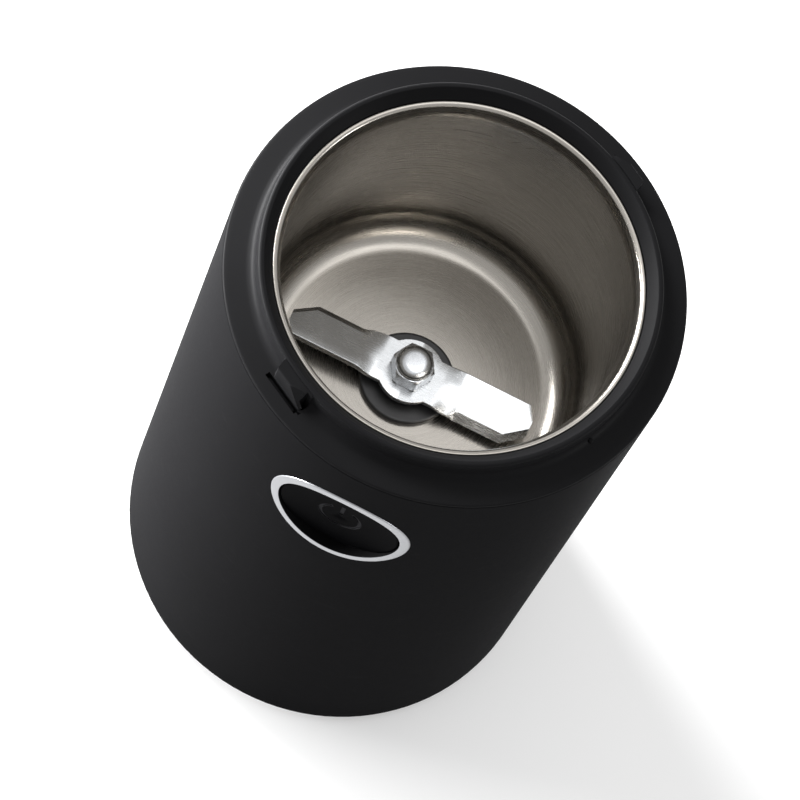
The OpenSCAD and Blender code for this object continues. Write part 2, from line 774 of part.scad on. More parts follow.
module chassis() color("#77797c") difference() {
    union() {
        rotate_extrude($fn = 180) polygon([
            [bush_r + fit_gap, z_floor], [cup_r, z_floor], [cup_r, z_flange], [flange_r, z_flange],
            [flange_r, z_skirt], [cup_r, z_skirt], [cup_r, z_cup_top], [cup_in_r, z_cup_top],
            [cup_in_r, z_floor_top], [seat_ring_r + seat_ring_w / 2, z_floor_top],
            [seat_ring_r + seat_ring_w / 2, z_bowl_under], [seat_ring_r - seat_ring_w / 2, z_bowl_under],
            [seat_ring_r - seat_ring_w / 2, z_floor_top], [bush_r + fit_gap, z_floor_top]]);
        around(4, column_az) translate([0, -column_at, z_column])
            cylinder(r = column_r, h = z_floor_top - z_column - floor_t / 2);
        for (x = [-1, 1]) translate([x * board_screw_x, 0, 0]) facing_front(z_button)
            translate([0, 0, cup_r - board_boss_root])
                cylinder(r = board_boss_r, h = y_board - board_t - cup_r + board_boss_root);
        at_az(lug_az) difference() {
            latch_ledge();
            translate([0, 0, z_floor]) cylinder(r = cup_r - cup_wall / 2, h = z_crest);
        }
        for (x = [-1, 1]) board_rail(x);
    }
    around(4, column_az) translate([0, -column_at, z_column - cut])
        cylinder(r = base_screw_r + fit_gap,
            h = base_screw_len - (z_column - z_cover - base_head_deep) + screw_end_gap + cut);
    around(4, collar_screw_az) translate([0, -collar_boss_at, z_flange - cut])
        cylinder(r = collar_screw_r + hole_clear, h = flange_t + 2 * cut);
    for (x = [-1, 1]) translate([x * board_screw_x, 0, 0]) facing_front(z_button)
        translate([0, 0, y_board - board_screw_len - board_screw_end])
            cylinder(r = board_screw_r + fit_gap, h = board_screw_len);
    // guide of the plunger in the flange
    at_az(lug_az) translate([-plunger_w / 2 - slide_gap, -flange_r - cut, z_flange - cut])
        cube([plunger_w + 2 * slide_gap, flange_r + cut - plunger_in + slide_gap, flange_t + 2 * cut]);
    for (x = [-1, 1], y = [-1, 1]) translate([x * damper_x, y * damper_y, z_floor - cut])
        cylinder(r = damper_screw_r + hole_clear, h = floor_t + 2 * cut);
    for (x = [-1, 1]) rail_groove(x);
}

// Ledge that carries the interlock switch and the spring
module latch_ledge() {
    back = y_latch_front - cup_in_r + ledge_root;
    translate([latch_x0 - ledge_edge, -y_latch_front, z_latch_ledge - latch_ledge_t])
        cube([spring_x + 2 * spring_r - latch_x0 + ledge_edge, back, latch_ledge_t]);
    translate([latch_x0, -y_latch_back, z_latch_ledge - latch_ledge_t])
        cube([latch_switch_w, back - latch_switch_d, latch_switch_h + latch_ledge_t]);
}

module board_rail(side) {
    translate([side * rail_mid - rail_w / 2, y_power - rail_lip, z_power - rail_foot])
        cube([rail_w, power_t + 2 * rail_lip, z_floor + floor_t / 2 - z_power + rail_foot]);
}

module rail_groove(side) {
    translate([side * (rail_x - rail_deep) - rail_deep, y_power - fit_gap, z_power])
        cube([2 * rail_deep, power_t + 2 * fit_gap, power_h + rail_top_gap]);
}

// Button

module button_bezel() color("#c8c8ca") difference() {
    union() {
        intersection() {
            facing_front(z_button) cylinder(r = bezel_r, h = body_r + past);
            translate([0, 0, z_button - 2 * bezel_r]) difference() {
                cylinder(r = body_r + bezel_proud, h = 4 * bezel_r, $fn = 180);
                translate([0, 0, -cut])
                    cylinder(r = body_r - bezel_seat, h = 4 * bezel_r + 2 * cut, $fn = 180);
            }
        }
        intersection() {
            facing_front(z_button) translate([0, 0, y_sleeve])
                cylinder(r = sleeve_r, h = body_r - y_sleeve);
            translate([0, 0, z_button - 2 * bezel_r])
                cylinder(r = body_r - bezel_seat / 2, h = 4 * bezel_r, $fn = 180);
        }
    }
    button_cutter(button_hole_r, y_sleeve - cut);
}

module power_button() color("#141415") facing_front(z_button) difference() {
    sphere_r = (pow(button_r - button_round, 2) + pow(button_dish, 2)) / (2 * button_dish);
    union() {
        rotate_extrude() polygon(concat(
            [[0, y_button_lip + lip_slope], [button_r, y_button_lip]],
            arc([button_r - button_round, y_button_face - button_round], button_round, 0, 90, 4),
            [[0, y_button_face]]));
        translate([0, 0, y_button_lip]) cylinder(r = button_r + button_lip_w, h = button_lip_t);
    }
    translate([0, 0, y_button_face + sphere_r - button_dish]) sphere(r = sphere_r, $fn = 180);
    translate([0, 0, y_button_lip - cut])
        cylinder(r = button_r - button_skirt_w, h = y_button_back - y_button_lip + cut);
    power_mark();
}

// Engraved arc with a bar, open at the top
module power_mark() {
    floor_at = y_button_face - button_dish - mark_deep;
    translate([0, 0, floor_at]) {
        difference() {
            tube(mark_d / 2, mark_d / 2 - mark_w, mark_cut_h);
            linear_extrude(height = 3 * mark_cut_h, center = true)
                polygon([[0, 0], mark_d * [-sin(mark_gap_angle / 2), cos(mark_gap_angle / 2)],
                    mark_d * [sin(mark_gap_angle / 2), cos(mark_gap_angle / 2)]]);
        }
        translate([-mark_w / 2, mark_bar_up, 0])
            cube([mark_w, mark_d / 2 + mark_bar_over - mark_bar_up, mark_cut_h]);
    }
}

module switch_plunger() color("#d8d4c8") facing_front(z_button)
    translate([0, 0, y_switch_front - switch_pin_in])
        cylinder(r = switch_pin_r, h = y_button_back - y_switch_front + switch_pin_in);

module push_switch() color("#3b3c40") facing_front(z_button) difference() {
    translate([-switch_side / 2, -switch_side / 2, y_board]) cube([switch_side, switch_side, switch_d]);
    translate([0, 0, y_switch_front - switch_pin_in - button_travel - slide_gap])
        cylinder(r = switch_pin_r + hole_clear, h = switch_pin_in + button_travel + slide_gap + cut);
}

module switch_board() color("#2d5a3a") facing_front(z_button) difference() {
    translate([0, 0, y_board - board_t / 2]) cube([board_side, board_side, board_t], center = true);
    for (x = [-1, 1]) translate([x * board_screw_x, 0, y_board - board_t - cut])
        cylinder(r = board_screw_r + hole_clear, h = board_t + 2 * cut);
}

module board_screws() color("#9a9da1")
    for (x = [-1, 1]) translate([x * board_screw_x, 0, 0]) facing_front(z_button)
        translate([0, 0, y_board]) pan_screw(board_screw_r, board_screw_len, board_head_r, board_head_h);

// Interlock

module interlock_plunger() color("#1e1e20") at_az(lug_az) {
    translate([-plunger_w / 2, -plunger_out, z_plunger])
        cube([plunger_w, plunger_out - plunger_in, plunger_h]);
    translate([-plunger_w / 2, -y_blade - blade_thin, z_plunger])
        cube([plunger_w, blade_thin, z_seam + shelf_rise - blade_below - z_plunger]);
}

module interlock_spring() color("#b9bcc0") at_az(lug_az)
    translate([spring_x, -spring_y, z_latch_ledge])
        coil_spring(spring_r, spring_wire_r, z_plunger - z_latch_ledge, spring_turns);

module interlock_switch() color("#26272b") at_az(lug_az) difference() {
    translate([latch_x0, -y_latch_front, z_latch_ledge])
        cube([latch_switch_w, y_latch_front - y_latch_back, latch_switch_h]);
    translate([latch_pin_x, -spring_y, z_plunger - latch_pin_h - latch_pin_in - plunger_travel - slide_gap])
        cylinder(r = latch_pin_r + hole_clear, h = latch_pin_in + plunger_travel + slide_gap + cut);
}

module interlock_button() color("#c23b2e") at_az(lug_az)
    translate([latch_pin_x, -spring_y, z_plunger - latch_pin_h - latch_pin_in])
        cylinder(r = latch_pin_r, h = latch_pin_h + latch_pin_in);

// Motor, fixed parts

module upper_bracket() color("#a5a8ab") difference() {
    union() {
        translate([0, 0, z_upper_plate]) linear_extrude(height = bracket_t)
            round_rect(stator_w, plate_d, stator_corner);
        translate([0, 0, z_upper_boss]) cylinder(r = boss_r, h = boss_len);
        for (x = [-1, 1]) translate([x * leg_at, 0, z_stack_top])
            cylinder(r = leg_r, h = z_upper_plate - z_stack_top + cut);
    }
    translate([0, 0, z_upper_boss - cut]) cylinder(r = bearing_r + fit_gap, h = bearing_h + cut);
    translate([0, 0, z_upper_boss - cut]) cylinder(r = shaft_r + bearing_stop, h = boss_len + 2 * cut);
    for (x = [-1, 1]) translate([x * leg_at, 0, z_stack_top - cut])
        cylinder(r = bolt_r + fit_gap, h = z_upper_plate + bracket_t - z_stack_top + 2 * cut);
    for (x = [-1, 1], y = [-1, 1]) translate([x * damper_x, y * damper_y, z_upper_plate - cut])
        cylinder(r = damper_screw_r + fit_gap, h = bracket_t + 2 * cut);
    for (y = [-1, 1]) translate([0, y * window_at, z_upper_plate - cut])
        cylinder(r = window_r, h = bracket_t + 2 * cut);
}

module lower_bracket() color("#a5a8ab") difference() {
    union() {
        translate([0, 0, z_lower_plate]) linear_extrude(height = bracket_t)
            round_rect(stator_w, lower_plate_d, stator_corner);
        translate([0, 0, z_lower_boss]) cylinder(r = boss_r, h = boss_len);
        for (x = [-1, 1]) translate([x * leg_at, 0, z_lower_plate])
            cylinder(r = leg_r, h = z_stack - z_lower_plate);
    }
    translate([0, 0, z_lower_boss + boss_len - bearing_h])
        cylinder(r = bearing_r + fit_gap, h = bearing_h + cut);
    for (x = [-1, 1]) translate([x * leg_at, 0, z_lower_plate - cut])
        cylinder(r = bolt_r + fit_gap, h = z_stack - z_lower_plate + 2 * cut);
    for (x = [-1, 1]) translate([x * plate_screw_x, 0, z_lower_plate - cut])
        cylinder(r = plate_screw_r + fit_gap, h = bracket_t + 2 * cut);
}

module upper_bearing() color("#b08a4e")
    translate([0, 0, z_upper_boss]) tube(bearing_r, shaft_r + run_gap, bearing_h);

module lower_bearing() color("#b08a4e")
    translate([0, 0, z_lower_boss + boss_len - bearing_h]) tube(bearing_r, shaft_r + run_gap, bearing_h);

module stator_core() color("#6d7075") translate([0, 0, z_stack]) linear_extrude(height = stack_h)
    difference() {
        round_rect(stator_w, stator_d, stator_corner);
        circle(r = armature_r + air_gap);
        for (x = [-1, 1]) translate([x * leg_at, 0]) circle(r = bolt_r + hole_clear);
        // windows for the coil sides and the gaps between the pole tips
        for (x = [-1, 1], y = [-1, 1])
            translate([x * (coil_neck + coil_w) / 2, y * (coil_y0 + coil_t / 2)])
                square([coil_w - coil_neck + 2 * coil_gap, coil_t + 2 * coil_gap], center = true);
        for (x = [-1, 1]) translate([x * armature_r, 0])
            square([pole_gap[0], 2 * coil_y0 - pole_gap[1]], center = true);
    }

module field_coils() color("#9c5a2c") for (y = [-1, 1])
    translate([0, y * (coil_y0 + coil_t / 2), z_stack + stack_h / 2]) rotate([90, 0, 0])
        linear_extrude(height = coil_t, center = true) difference() {
            round_rect(2 * coil_w, stack_h + 2 * head_len, coil_corner);
            square([2 * coil_neck, stack_h + 2 * coil_gap], center = true);
        }

module through_bolts() color("#8f9296") for (x = [-1, 1])
    translate([x * leg_at, 0, z_lower_plate]) {
        translate([0, 0, -bolt_head_h]) cylinder(r = bolt_head_r, h = bolt_head_h, $fn = 6);
        translate([0, 0, -cut]) cylinder(r = bolt_r,
            h = z_upper_plate + bracket_t + nut_h - z_lower_plate + bolt_end + cut);
    }

module bolt_nuts() color("#8f9296") for (x = [-1, 1])
    translate([x * leg_at, 0, z_upper_plate + bracket_t]) difference() {
        cylinder(r = nut_r, h = nut_h, $fn = 6);
        translate([0, 0, -cut]) cylinder(r = bolt_r + fit_gap, h = nut_h + 2 * cut, $fn = 48);
    }

module rubber_dampers() color("#161617")
    for (x = [-1, 1], y = [-1, 1])
        translate([x * damper_x, y * damper_y, z_upper_plate + bracket_t])
            tube(damper_r, damper_screw_r + hole_clear, damper_t);

module damper_screws() color("#9a9da1")
    for (x = [-1, 1], y = [-1, 1]) translate([x * damper_x, y * damper_y, z_floor_top])
        pan_screw(damper_screw_r, floor_t + damper_t + bracket_t, damper_head[0], damper_head[1]);

module lower_cushion() color("#161617")
    translate([0, 0, z_lip + cushion_rise]) difference() {
        cylinder(r = cushion_r, h = cushion_h);
        translate([0, 0, motor_lift - cushion_rise])
            cylinder(r = boss_r + fit_gap, h = cushion_h);
        translate([0, 0, -cut]) cylinder(r = cushion_in, h = cushion_h + 2 * cut);
    }

module brush_plate() color("#8a4b2b") difference() {
    union() {
        translate([0, 0, z_brush_plate]) linear_extrude(height = brush_plate_t)
            round_rect(brush_plate_w, 2 * (y_holder + brush_plate_out), coil_corner);
        for (y = [-1, 1])
            translate([0, y * (y_holder + brush_plate_out / 2), z_brush_plate])
                linear_extrude(height = z_brush - brush_w / 2 - holder_wall - z_brush_plate)
                    square(brush_block, center = true);
    }
    translate([0, 0, z_brush_plate - cut]) cylinder(r = y_holder - holder_wall, h = comm_len);
    for (x = [-1, 1]) translate([x * plate_screw_x, 0, z_brush_plate - cut])
        cylinder(r = plate_screw_r + hole_clear, h = brush_plate_t + 2 * cut);
}

module plate_screws() color("#9a9da1")
    for (x = [-1, 1]) translate([x * plate_screw_x, 0, z_brush_plate + brush_plate_t])
        pan_screw(plate_screw_r, brush_plate_t + bracket_t, plate_head[0], plate_head[1]);

module brush_frame(y0, w, len) {
    translate([-w / 2, y0, z_brush - w / 2]) cube([w, len, w]);
}

module brush_holders() color("#c59b45") for (side = [0, 180]) rotate([0, 0, side]) difference() {
    brush_frame(y_holder, brush_w + 2 * holder_wall, holder_len);
    brush_frame(y_holder - cut, brush_w + brush_play, holder_len - holder_wall + cut);
}

module carbon_brushes() color("#2a2a2b") for (side = [0, 180]) rotate([0, 0, side]) difference() {
    brush_frame(comm_r - cut, brush_w, brush_len + cut);
    translate([0, 0, z_comm - cut]) cylinder(r = comm_r + brush_gap, h = comm_len + 2 * cut);
}

module brush_springs() color("#b9bcc0") for (side = [0, 180]) rotate([0, 0, side])
    translate([0, comm_r + brush_len, z_brush]) rotate([-90, 0, 0])
        coil_spring(brush_coil_r, brush_wire_r,
            holder_clear + holder_len - holder_wall - brush_len, coil_turns);

// Motor, turning parts

module drive_shaft() color("#b4b7ba") difference() {
    translate([0, 0, z_shaft]) cylinder(r = shaft_r, h = z_shaft_top - z_shaft);
    // flat that drives the blade
    translate([-shaft_r, shaft_r - shaft_flat, z_blade - fit_gap])
        cube([2 * shaft_r, shaft_r, blade_t + 2 * fit_gap]);
}

module armature_core() color("#64676c") translate([0, 0, z_stack]) linear_extrude(height = stack_h)
    difference() {
        circle(r = armature_r);
        circle(r = shaft_r + fit_gap);
        around(armature_slots) {
            translate([0, -slot_at]) circle(r = slot_r, $fn = 32);
            translate([-slot_mouth / 2, -armature_r - cut]) square([slot_mouth, armature_r - slot_at]);
        }
    }

module armature_winding() color("#a8622f") {
    for (z = [z_head, z_stack_top + fit_gap]) translate([0, 0, z])
        tube(slot_at + slot_r, shaft_r + fit_gap, head_len - fit_gap);
    around(armature_slots) translate([0, -slot_at, z_stack - cut])
        cylinder(r = slot_r - slot_liner, h = stack_h + 2 * cut, $fn = 32);
}

module commutator() color("#b9702f") translate([0, 0, z_comm]) difference() {
    union() {
        cylinder(r = comm_r, h = comm_len);
        translate([0, 0, comm_len - riser[1]])
            cylinder(r = comm_r + riser[0], h = riser[1] + riser_gap - fit_gap);
    }
    translate([0, 0, -cut]) cylinder(r = shaft_r + fit_gap, h = comm_len + riser_gap + 2 * cut);
    around(comm_bars) translate([-bar_gap / 2, -comm_r - 2 * riser[0], -cut])
        cube([bar_gap, 2 * riser[0] + bar_deep, comm_len + riser_gap + 2 * cut]);
}

module cooling_fan() color("#4c4f54") translate([0, 0, z_fan]) difference() {
    hub = shaft_r + fan_hub_w;
    wing = fan_r - hub - 2 * fan_root;
    union() {
        translate([0, 0, fan_h - fan_plate_t]) cylinder(r = fan_r, h = fan_plate_t);
        cylinder(r = hub, h = fan_h);
        around(fan_blades) translate([0, -hub - fan_root, 0]) rotate([0, 0, fan_sweep])
            translate([-fan_blade_t / 2, -wing, 0]) cube([fan_blade_t, wing, fan_h - fan_drop]);
    }
    translate([0, 0, -cut]) cylinder(r = shaft_r + fit_gap, h = fan_h + 2 * cut);
}

module blade_spacer() color("#2a2a2c") translate([0, 0, z_spacer]) difference() {
    union() {
        cylinder(r = spacer_r, h = spacer_h);
        cylinder(r = spacer_r + spacer_foot_w, h = spacer_h / 3);
    }
    translate([0, 0, -cut]) cylinder(r = shaft_r + fit_gap, h = spacer_h + 2 * cut);
}

module blade() color("#d2d4d6") translate([0, 0, z_blade]) difference() {
    union() {
        cylinder(r = blade_hub_r, h = blade_t);
        for (side = [0, 180]) rotate([0, 0, side]) {
            translate([0, -blade_w / 2, 0]) cube([blade_hub_r + wing_root + wing_in, blade_w, blade_t]);
            translate([blade_hub_r + wing_root, 0, blade_t / 2]) rotate([wing_pitch, 0, 0]) blade_wing();
        }
    }
    difference() {
        translate([0, 0, -cut]) cylinder(r = shaft_r + fit_gap, h = blade_t + 2 * cut);
        translate([-shaft_r, shaft_r - shaft_flat + fit_gap, -cut])
            cube([2 * shaft_r, shaft_r, blade_t + 2 * cut]);
    }
}

// One wing, swept back and cut to a ground edge along its leading side
module blade_wing() {
    wing = blade_r - blade_hub_r - wing_root;
    half = blade_w / 2;
    translate([0, 0, -blade_t / 2]) difference() {
        linear_extrude(height = blade_t) polygon([
            [0, -half], [wing - wing_cut[0], -half], [wing, wing_cut[1] - half],
            [wing, half - wing_heel[1]], [wing - wing_heel[0], half], [0, half]]);
        translate([edge_inset, -half, 0]) rotate([edge_angle, 0, 0])
            translate([0, -half, edge_land]) cube([wing, edge_w + half - edge_back, edge_w]);
    }
}

module blade_nut() color("#c4c6c8") translate([0, 0, z_blade + blade_t]) difference() {
    union() {
        cylinder(r = blade_nut_r, h = blade_nut_h - nut_edge, $fn = 6);
        rotate_extrude() polygon(concat([[0, 0], [nut_waist, 0]],
            arc([nut_waist - nut_dome, blade_nut_h - nut_dome], nut_dome, 0, 90, 5), [[0, blade_nut_h]]));
    }
    translate([0, 0, -cut]) cylinder(r = shaft_r + fit_gap, h = shaft_in_nut + nut_spare + cut);
}

// Circuit parts

module power_board() color("#2d5a3a")
    translate([-power_w / 2, y_power, z_power]) cube([power_w, power_t, power_h]);

// Puts a part on the board's back, at a distance across and up from the board's lower middle
module on_board(at) {
    translate([at[0], y_power + power_t, z_power + at[1]]) children();
}

module noise_capacitor() color("#c9a437") on_board(capacitor_at) cube(capacitor);

module triac() color("#1f1f21") on_board(triac_at) cube(triac_size);

module heat_sink() color("#9fa3a7") on_board(sink_at) translate([0, triac_size[1], 0]) difference() {
    cube(sink_size);
    pitch = (sink_size[0] + sink_gap) / sink_fins;
    for (i = [1 : sink_fins - 1]) translate([i * pitch - sink_gap, sink_back, -cut])
        cube([sink_gap, sink_size[1], sink_size[2] + 2 * cut]);
}

module terminal_block() color("#3f6f8c") on_board(block_at) difference() {
    cube(block_size);
    for (i = [0 : block_holes - 1])
        translate([(block_size[0] + (2 * i - block_holes + 1) * block_pitch) / 2, block_size[1] / 2,
            block_size[2] - block_hole_deep])
            cylinder(r = block_hole_r, h = block_hole_deep + cut, $fn = 24);
}

// Internal leads

lead_r = shell_in_r - 2 * wire_r;
lead_drop = 7;
lead_step = 4;
solder_drop = 3.2;
lead_x = -3;
lead_off = 0.1;
z_lead = z_floor - lead_drop;
z_board_foot = z_button - board_side / 2;

// Down the front from the push switch, round the motor to the power board
module switch_leads() color("#b0302a")
    sweep(spline(concat(
        [for (down = [lead_off, 3, 6])
            [lead_x, -(cup_r + thin_wire_r + lead_off), z_board_foot - thin_wire_r - down]],
        [polar(-6, lead_r - 1.6, z_board_foot - 11), polar(-8, lead_r - 1, z_floor)],
        [for (a = [14 : 16 : 150]) polar(-a, lead_r, z_lead - lead_step)],
        [[-15, 35, z_lead - 7], board_end(-11)]), 3), thin_wire_r);

// Down from the interlock switch, round the motor above the first lead
module interlock_leads() color("#2b2b2e")
    sweep(spline(concat(
        [polar(lug_az - 6, spring_y, z_latch_ledge - latch_ledge_t - thin_wire_r - lead_off),
            polar(lug_az - 8, lead_r - 1, z_latch_ledge - 12), polar(lug_az - 10, lead_r - 1, z_floor)],
        [for (a = [18 : 16 : 130]) polar(lug_az - a, lead_r, z_lead)],
        [[-10, 37, z_lead - lead_step], board_end(-7)]), 3), thin_wire_r);

// Where a switch lead is soldered to the power board
function board_end(x) = [x, y_power + power_t + thin_wire_r + lead_off, z_power + power_h - solder_drop];

// From the power board to the brush holder at the back, and round to the one at the front
module motor_leads() color("#d8d6d0") {
    y_start = y_power - wire_r - lead_off;
    y_end = y_holder + holder_len + wire_r + lead_off;
    sweep(spline([[6, y_start, z_power + 6], [6, y_start - 0.5, z_power - 1],
        [3, y_end + 0.5, z_brush + 3], [2, y_end, z_brush]]), wire_r);
    sweep(spline([[-10, y_start, z_power + 6], [-14, y_power - 3, z_power - 3], [-22, 19, z_brush + 4],
        [-29, 8, z_brush], [-30, 0, z_brush], [-28, -12, z_brush], [-19, -22, z_brush],
        [-9, -(y_end + 0.7), z_brush], [-2, -y_end, z_brush]]), wire_r);
}

// Cord inlet

module cord_gland() color("#151516") difference() {
    union() {
        gland_disc(gland_flange_r, body_r - gland_seat, gland_seat + gland_out);
        gland_disc(gland_neck_r, y_gland_in + gland_overlap, body_r - gland_seat - y_gland_in);
        gland_disc(gland_flange_r - 2 * gland_clear, y_gland_in, gland_in_t);
    }
    gland_cutter(gland_bore_r, y_gland_in - past);
}

module gland_disc(r, y0, h) {
    translate([0, y0, z_gland]) rotate([-90, 0, 0]) cylinder(r = r, h = h);
}

outer_shell();
collar_ring();
collar_screws();
grinding_bowl();
bowl_gasket();
bowl_bush();
shaft_seal();
chassis();
base_cover();
base_screws();
rubber_feet();
button_bezel();
power_button();
switch_plunger();
push_switch();
switch_board();
board_screws();
interlock_plunger();
interlock_spring();
interlock_switch();
interlock_button();
upper_bracket();
lower_bracket();
upper_bearing();
lower_bearing();
stator_core();
field_coils();
through_bolts();
bolt_nuts();
rubber_dampers();
damper_screws();
lower_cushion();
brush_plate();
brush_holders();
plate_screws();
carbon_brushes();
brush_springs();
drive_shaft();
armature_core();
armature_winding();
commutator();
cooling_fan();
blade_spacer();
blade();
blade_nut();
power_board();
noise_capacitor();
triac();
heat_sink();
terminal_block();
switch_leads();
interlock_leads();
motor_leads();
cord_gland();
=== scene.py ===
import math
import bmesh
import bpy
from mathutils import Matrix, Vector


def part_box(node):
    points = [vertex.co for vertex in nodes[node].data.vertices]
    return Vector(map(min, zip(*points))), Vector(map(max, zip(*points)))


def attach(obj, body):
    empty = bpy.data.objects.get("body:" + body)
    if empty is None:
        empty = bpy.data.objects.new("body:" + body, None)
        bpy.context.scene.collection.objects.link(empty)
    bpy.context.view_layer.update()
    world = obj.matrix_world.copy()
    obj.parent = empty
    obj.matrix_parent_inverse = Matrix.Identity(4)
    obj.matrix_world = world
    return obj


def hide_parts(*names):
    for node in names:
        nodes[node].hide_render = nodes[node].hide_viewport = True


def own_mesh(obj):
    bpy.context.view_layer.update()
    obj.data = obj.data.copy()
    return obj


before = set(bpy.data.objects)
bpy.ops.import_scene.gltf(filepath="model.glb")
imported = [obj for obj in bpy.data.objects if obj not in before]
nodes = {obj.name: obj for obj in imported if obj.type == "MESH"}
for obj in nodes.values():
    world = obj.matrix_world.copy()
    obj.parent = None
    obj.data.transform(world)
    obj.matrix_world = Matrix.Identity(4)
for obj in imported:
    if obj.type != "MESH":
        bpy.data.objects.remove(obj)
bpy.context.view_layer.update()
mm = 0.001
print("frame loaded:", len(nodes), "nodes")

camera = {
    "place": (-0.0072170, -0.3553459, 0.9506113),
    "across": (0.894598, 0.410310, 0.176990),
    "upwards": (-0.446787, 0.828950, 0.336610),
    "lens": 202.5,
    "sensor": 36.0,
}


def show(thing):
    bpy.context.scene.collection.objects.link(thing)
    return thing


def makeCamera():
    data = bpy.data.cameras.new("viewCamera")
    data.lens = camera["lens"]
    data.sensor_width = camera["sensor"]
    data.clip_start = 0.01
    data.clip_end = 20.0
    eye = show(bpy.data.objects.new("viewCamera", data))
    across = Vector(camera["across"]).normalized()
    back = across.cross(Vector(camera["upwards"])).normalized()
    upwards = back.cross(across)
    turn = Matrix((across, upwards, back)).transposed()
    eye.matrix_world = Matrix.Translation(camera["place"]) @ turn.to_4x4()
    bpy.context.scene.camera = eye


makeCamera()
bpy.context.scene.view_settings.view_transform = "Standard"
print("camera made")


def addNode(tree, kind, settings=None, sockets=None):
    # settings come first, because they decide which sockets a node has
    made = tree.nodes.new(kind)
    for key, value in (settings or {}).items():
        setattr(made, key, value)
    for key, value in (sockets or {}).items():
        if isinstance(value, bpy.types.NodeSocket):
            tree.links.new(value, made.inputs[key])
        else:
            made.inputs[key].default_value = value
    return made


class Wire:
    # a socket that works in plain sums
    def __init__(self, finish, socket):
        self.finish = finish
        self.socket = socket

    def __add__(self, other):
        return self.finish.math("ADD", self, other)

    def __radd__(self, other):
        return self.finish.math("ADD", other, self)

    def __sub__(self, other):
        return self.finish.math("SUBTRACT", self, other)

    def __rsub__(self, other):
        return self.finish.math("SUBTRACT", other, self)

    def __mul__(self, other):
        return self.finish.math("MULTIPLY", self, other)

    def __truediv__(self, other):
        return self.finish.math("DIVIDE", self, other)

    def __pow__(self, other):
        return self.finish.math("POWER", self, other)

    def __mod__(self, other):
        return self.finish.math("FLOORED_MODULO", self, other)


class Finish:
    # one material and its nodes
    def __init__(self, name):
        self.material = bpy.data.materials.new(name)
        self.material.use_nodes = True
        self.tree = self.material.node_tree
        self.tree.nodes.clear()
        self.place = self.node("ShaderNodeTexCoord", output="Object")

    def node(self, kind, settings=None, sockets=None, output=0):
        plain = {key: getattr(value, "socket", value) for key, value in (sockets or {}).items()}
        made = addNode(self.tree, kind, settings, plain)
        return Wire(self, made.outputs[output]) if made.outputs else None

    def math(self, operation, a, b=0.0, clamp=False):
        return self.node("ShaderNodeMath", {"operation": operation, "use_clamp": clamp}, {0: a, 1: b})

    def clamp(self, value):
        return self.math("ADD", value, 0.0, True)

    def axes(self):
        # the three coordinates of a point of the object
        first = self.node("ShaderNodeSeparateXYZ", sockets={0: self.place})
        return [Wire(self, socket) for socket in first.socket.node.outputs]

    def join(self, x, y, z):
        return self.node("ShaderNodeCombineXYZ", sockets={0: x, 1: y, 2: z})

    def noise(self, scale, detail=2.0, vector=None, roughness=0.5):
        return self.node("ShaderNodeTexNoise", {"noise_dimensions": "3D"},
                         {"Vector": vector or self.place, "Scale": scale, "Detail": detail,
                          "Roughness": roughness})

    def stretched(self, scales, turn=(0.0, 0.0, 0.0)):
        return self.node("ShaderNodeMapping", {"vector_type": "POINT"},
                         {"Vector": self.place, "Rotation": turn, "Scale": scales})

    def mix(self, factor, a, b):
        return self.node("ShaderNodeMix", {"data_type": "RGBA", "blend_type": "MIX"},
                         {0: factor, 6: a, 7: b}, 2)

    def tones(self, factor, colour, low, high):
        # from a darker to a paler tint of one colour
        return self.mix(factor, tint(colour, low), tint(colour, high))

    def away(self, x, y):
        # distance from the upright axis, never quite nothing
        return (x * x + y * y + 0.0000001) ** 0.5

    def band(self, value, centre, half, soft):
        off = self.math("ABSOLUTE", value - centre)
        return self.clamp((half - off) / soft + 0.5)

    def bump(self, height, depth):
        # depth in millimetres
        return self.node("ShaderNodeBump", {}, {"Height": height, "Distance": depth * mm})

    def done(self, colour, rough, normal=None, metallic=0.0, **fixed):
        sockets = {"Base Color": colour, "Roughness": rough, "Metallic": metallic}
        sockets.update({key.replace("_", " "): value for key, value in fixed.items()})
        if normal:
            sockets["Normal"] = normal
        skin = self.node("ShaderNodeBsdfPrincipled", {}, sockets)
        self.node("ShaderNodeOutputMaterial", {}, {"Surface": skin})
        return self.material


def tint(code, gain=1.0):
    # screen colour to light values
    parts = [int(code[i:i + 2], 16) / 255 for i in (1, 3, 5)]
    light = [c / 12.92 if c <= 0.04045 else ((c + 0.055) / 1.055) ** 2.4 for c in parts]
    return tuple(min(1.0, c * gain) for c in light) + (1.0,)


def mouldedPlastic(name, colour, rough, grain=2400.0, depth=0.01, cloud=0.15, gloss=0.5, wear=0.0):
    f = Finish(name)
    slow = f.noise(45.0, 3.0)
    fine = f.noise(grain, 3.0, roughness=0.6)
    pits = f.noise(grain * 0.23, 2.0)
    shade = f.tones(slow, colour, 1 - cloud, 1 + cloud)
    rubbed = f.clamp((f.noise(260.0, 5.0, roughness=0.7) - 0.62) * 6.0) * wear
    shade = f.mix(rubbed, shade, tint(colour, 2.2))
    roughness = f.clamp(rough + (fine - 0.5) * 0.14 + (slow - 0.5) * 0.1)
    height = fine * 0.7 + pits * 0.5
    return f.done(shade, roughness, f.bump(height, depth), Specular_IOR_Level=gloss)


powerSign = {
    "centre": 0.1254,
    "line": 0.0004,
    "ring": 0.00425,
    "gap": 32.0,
    "bar": (0.0011, 0.0053),
    "soft": 0.0001,
}


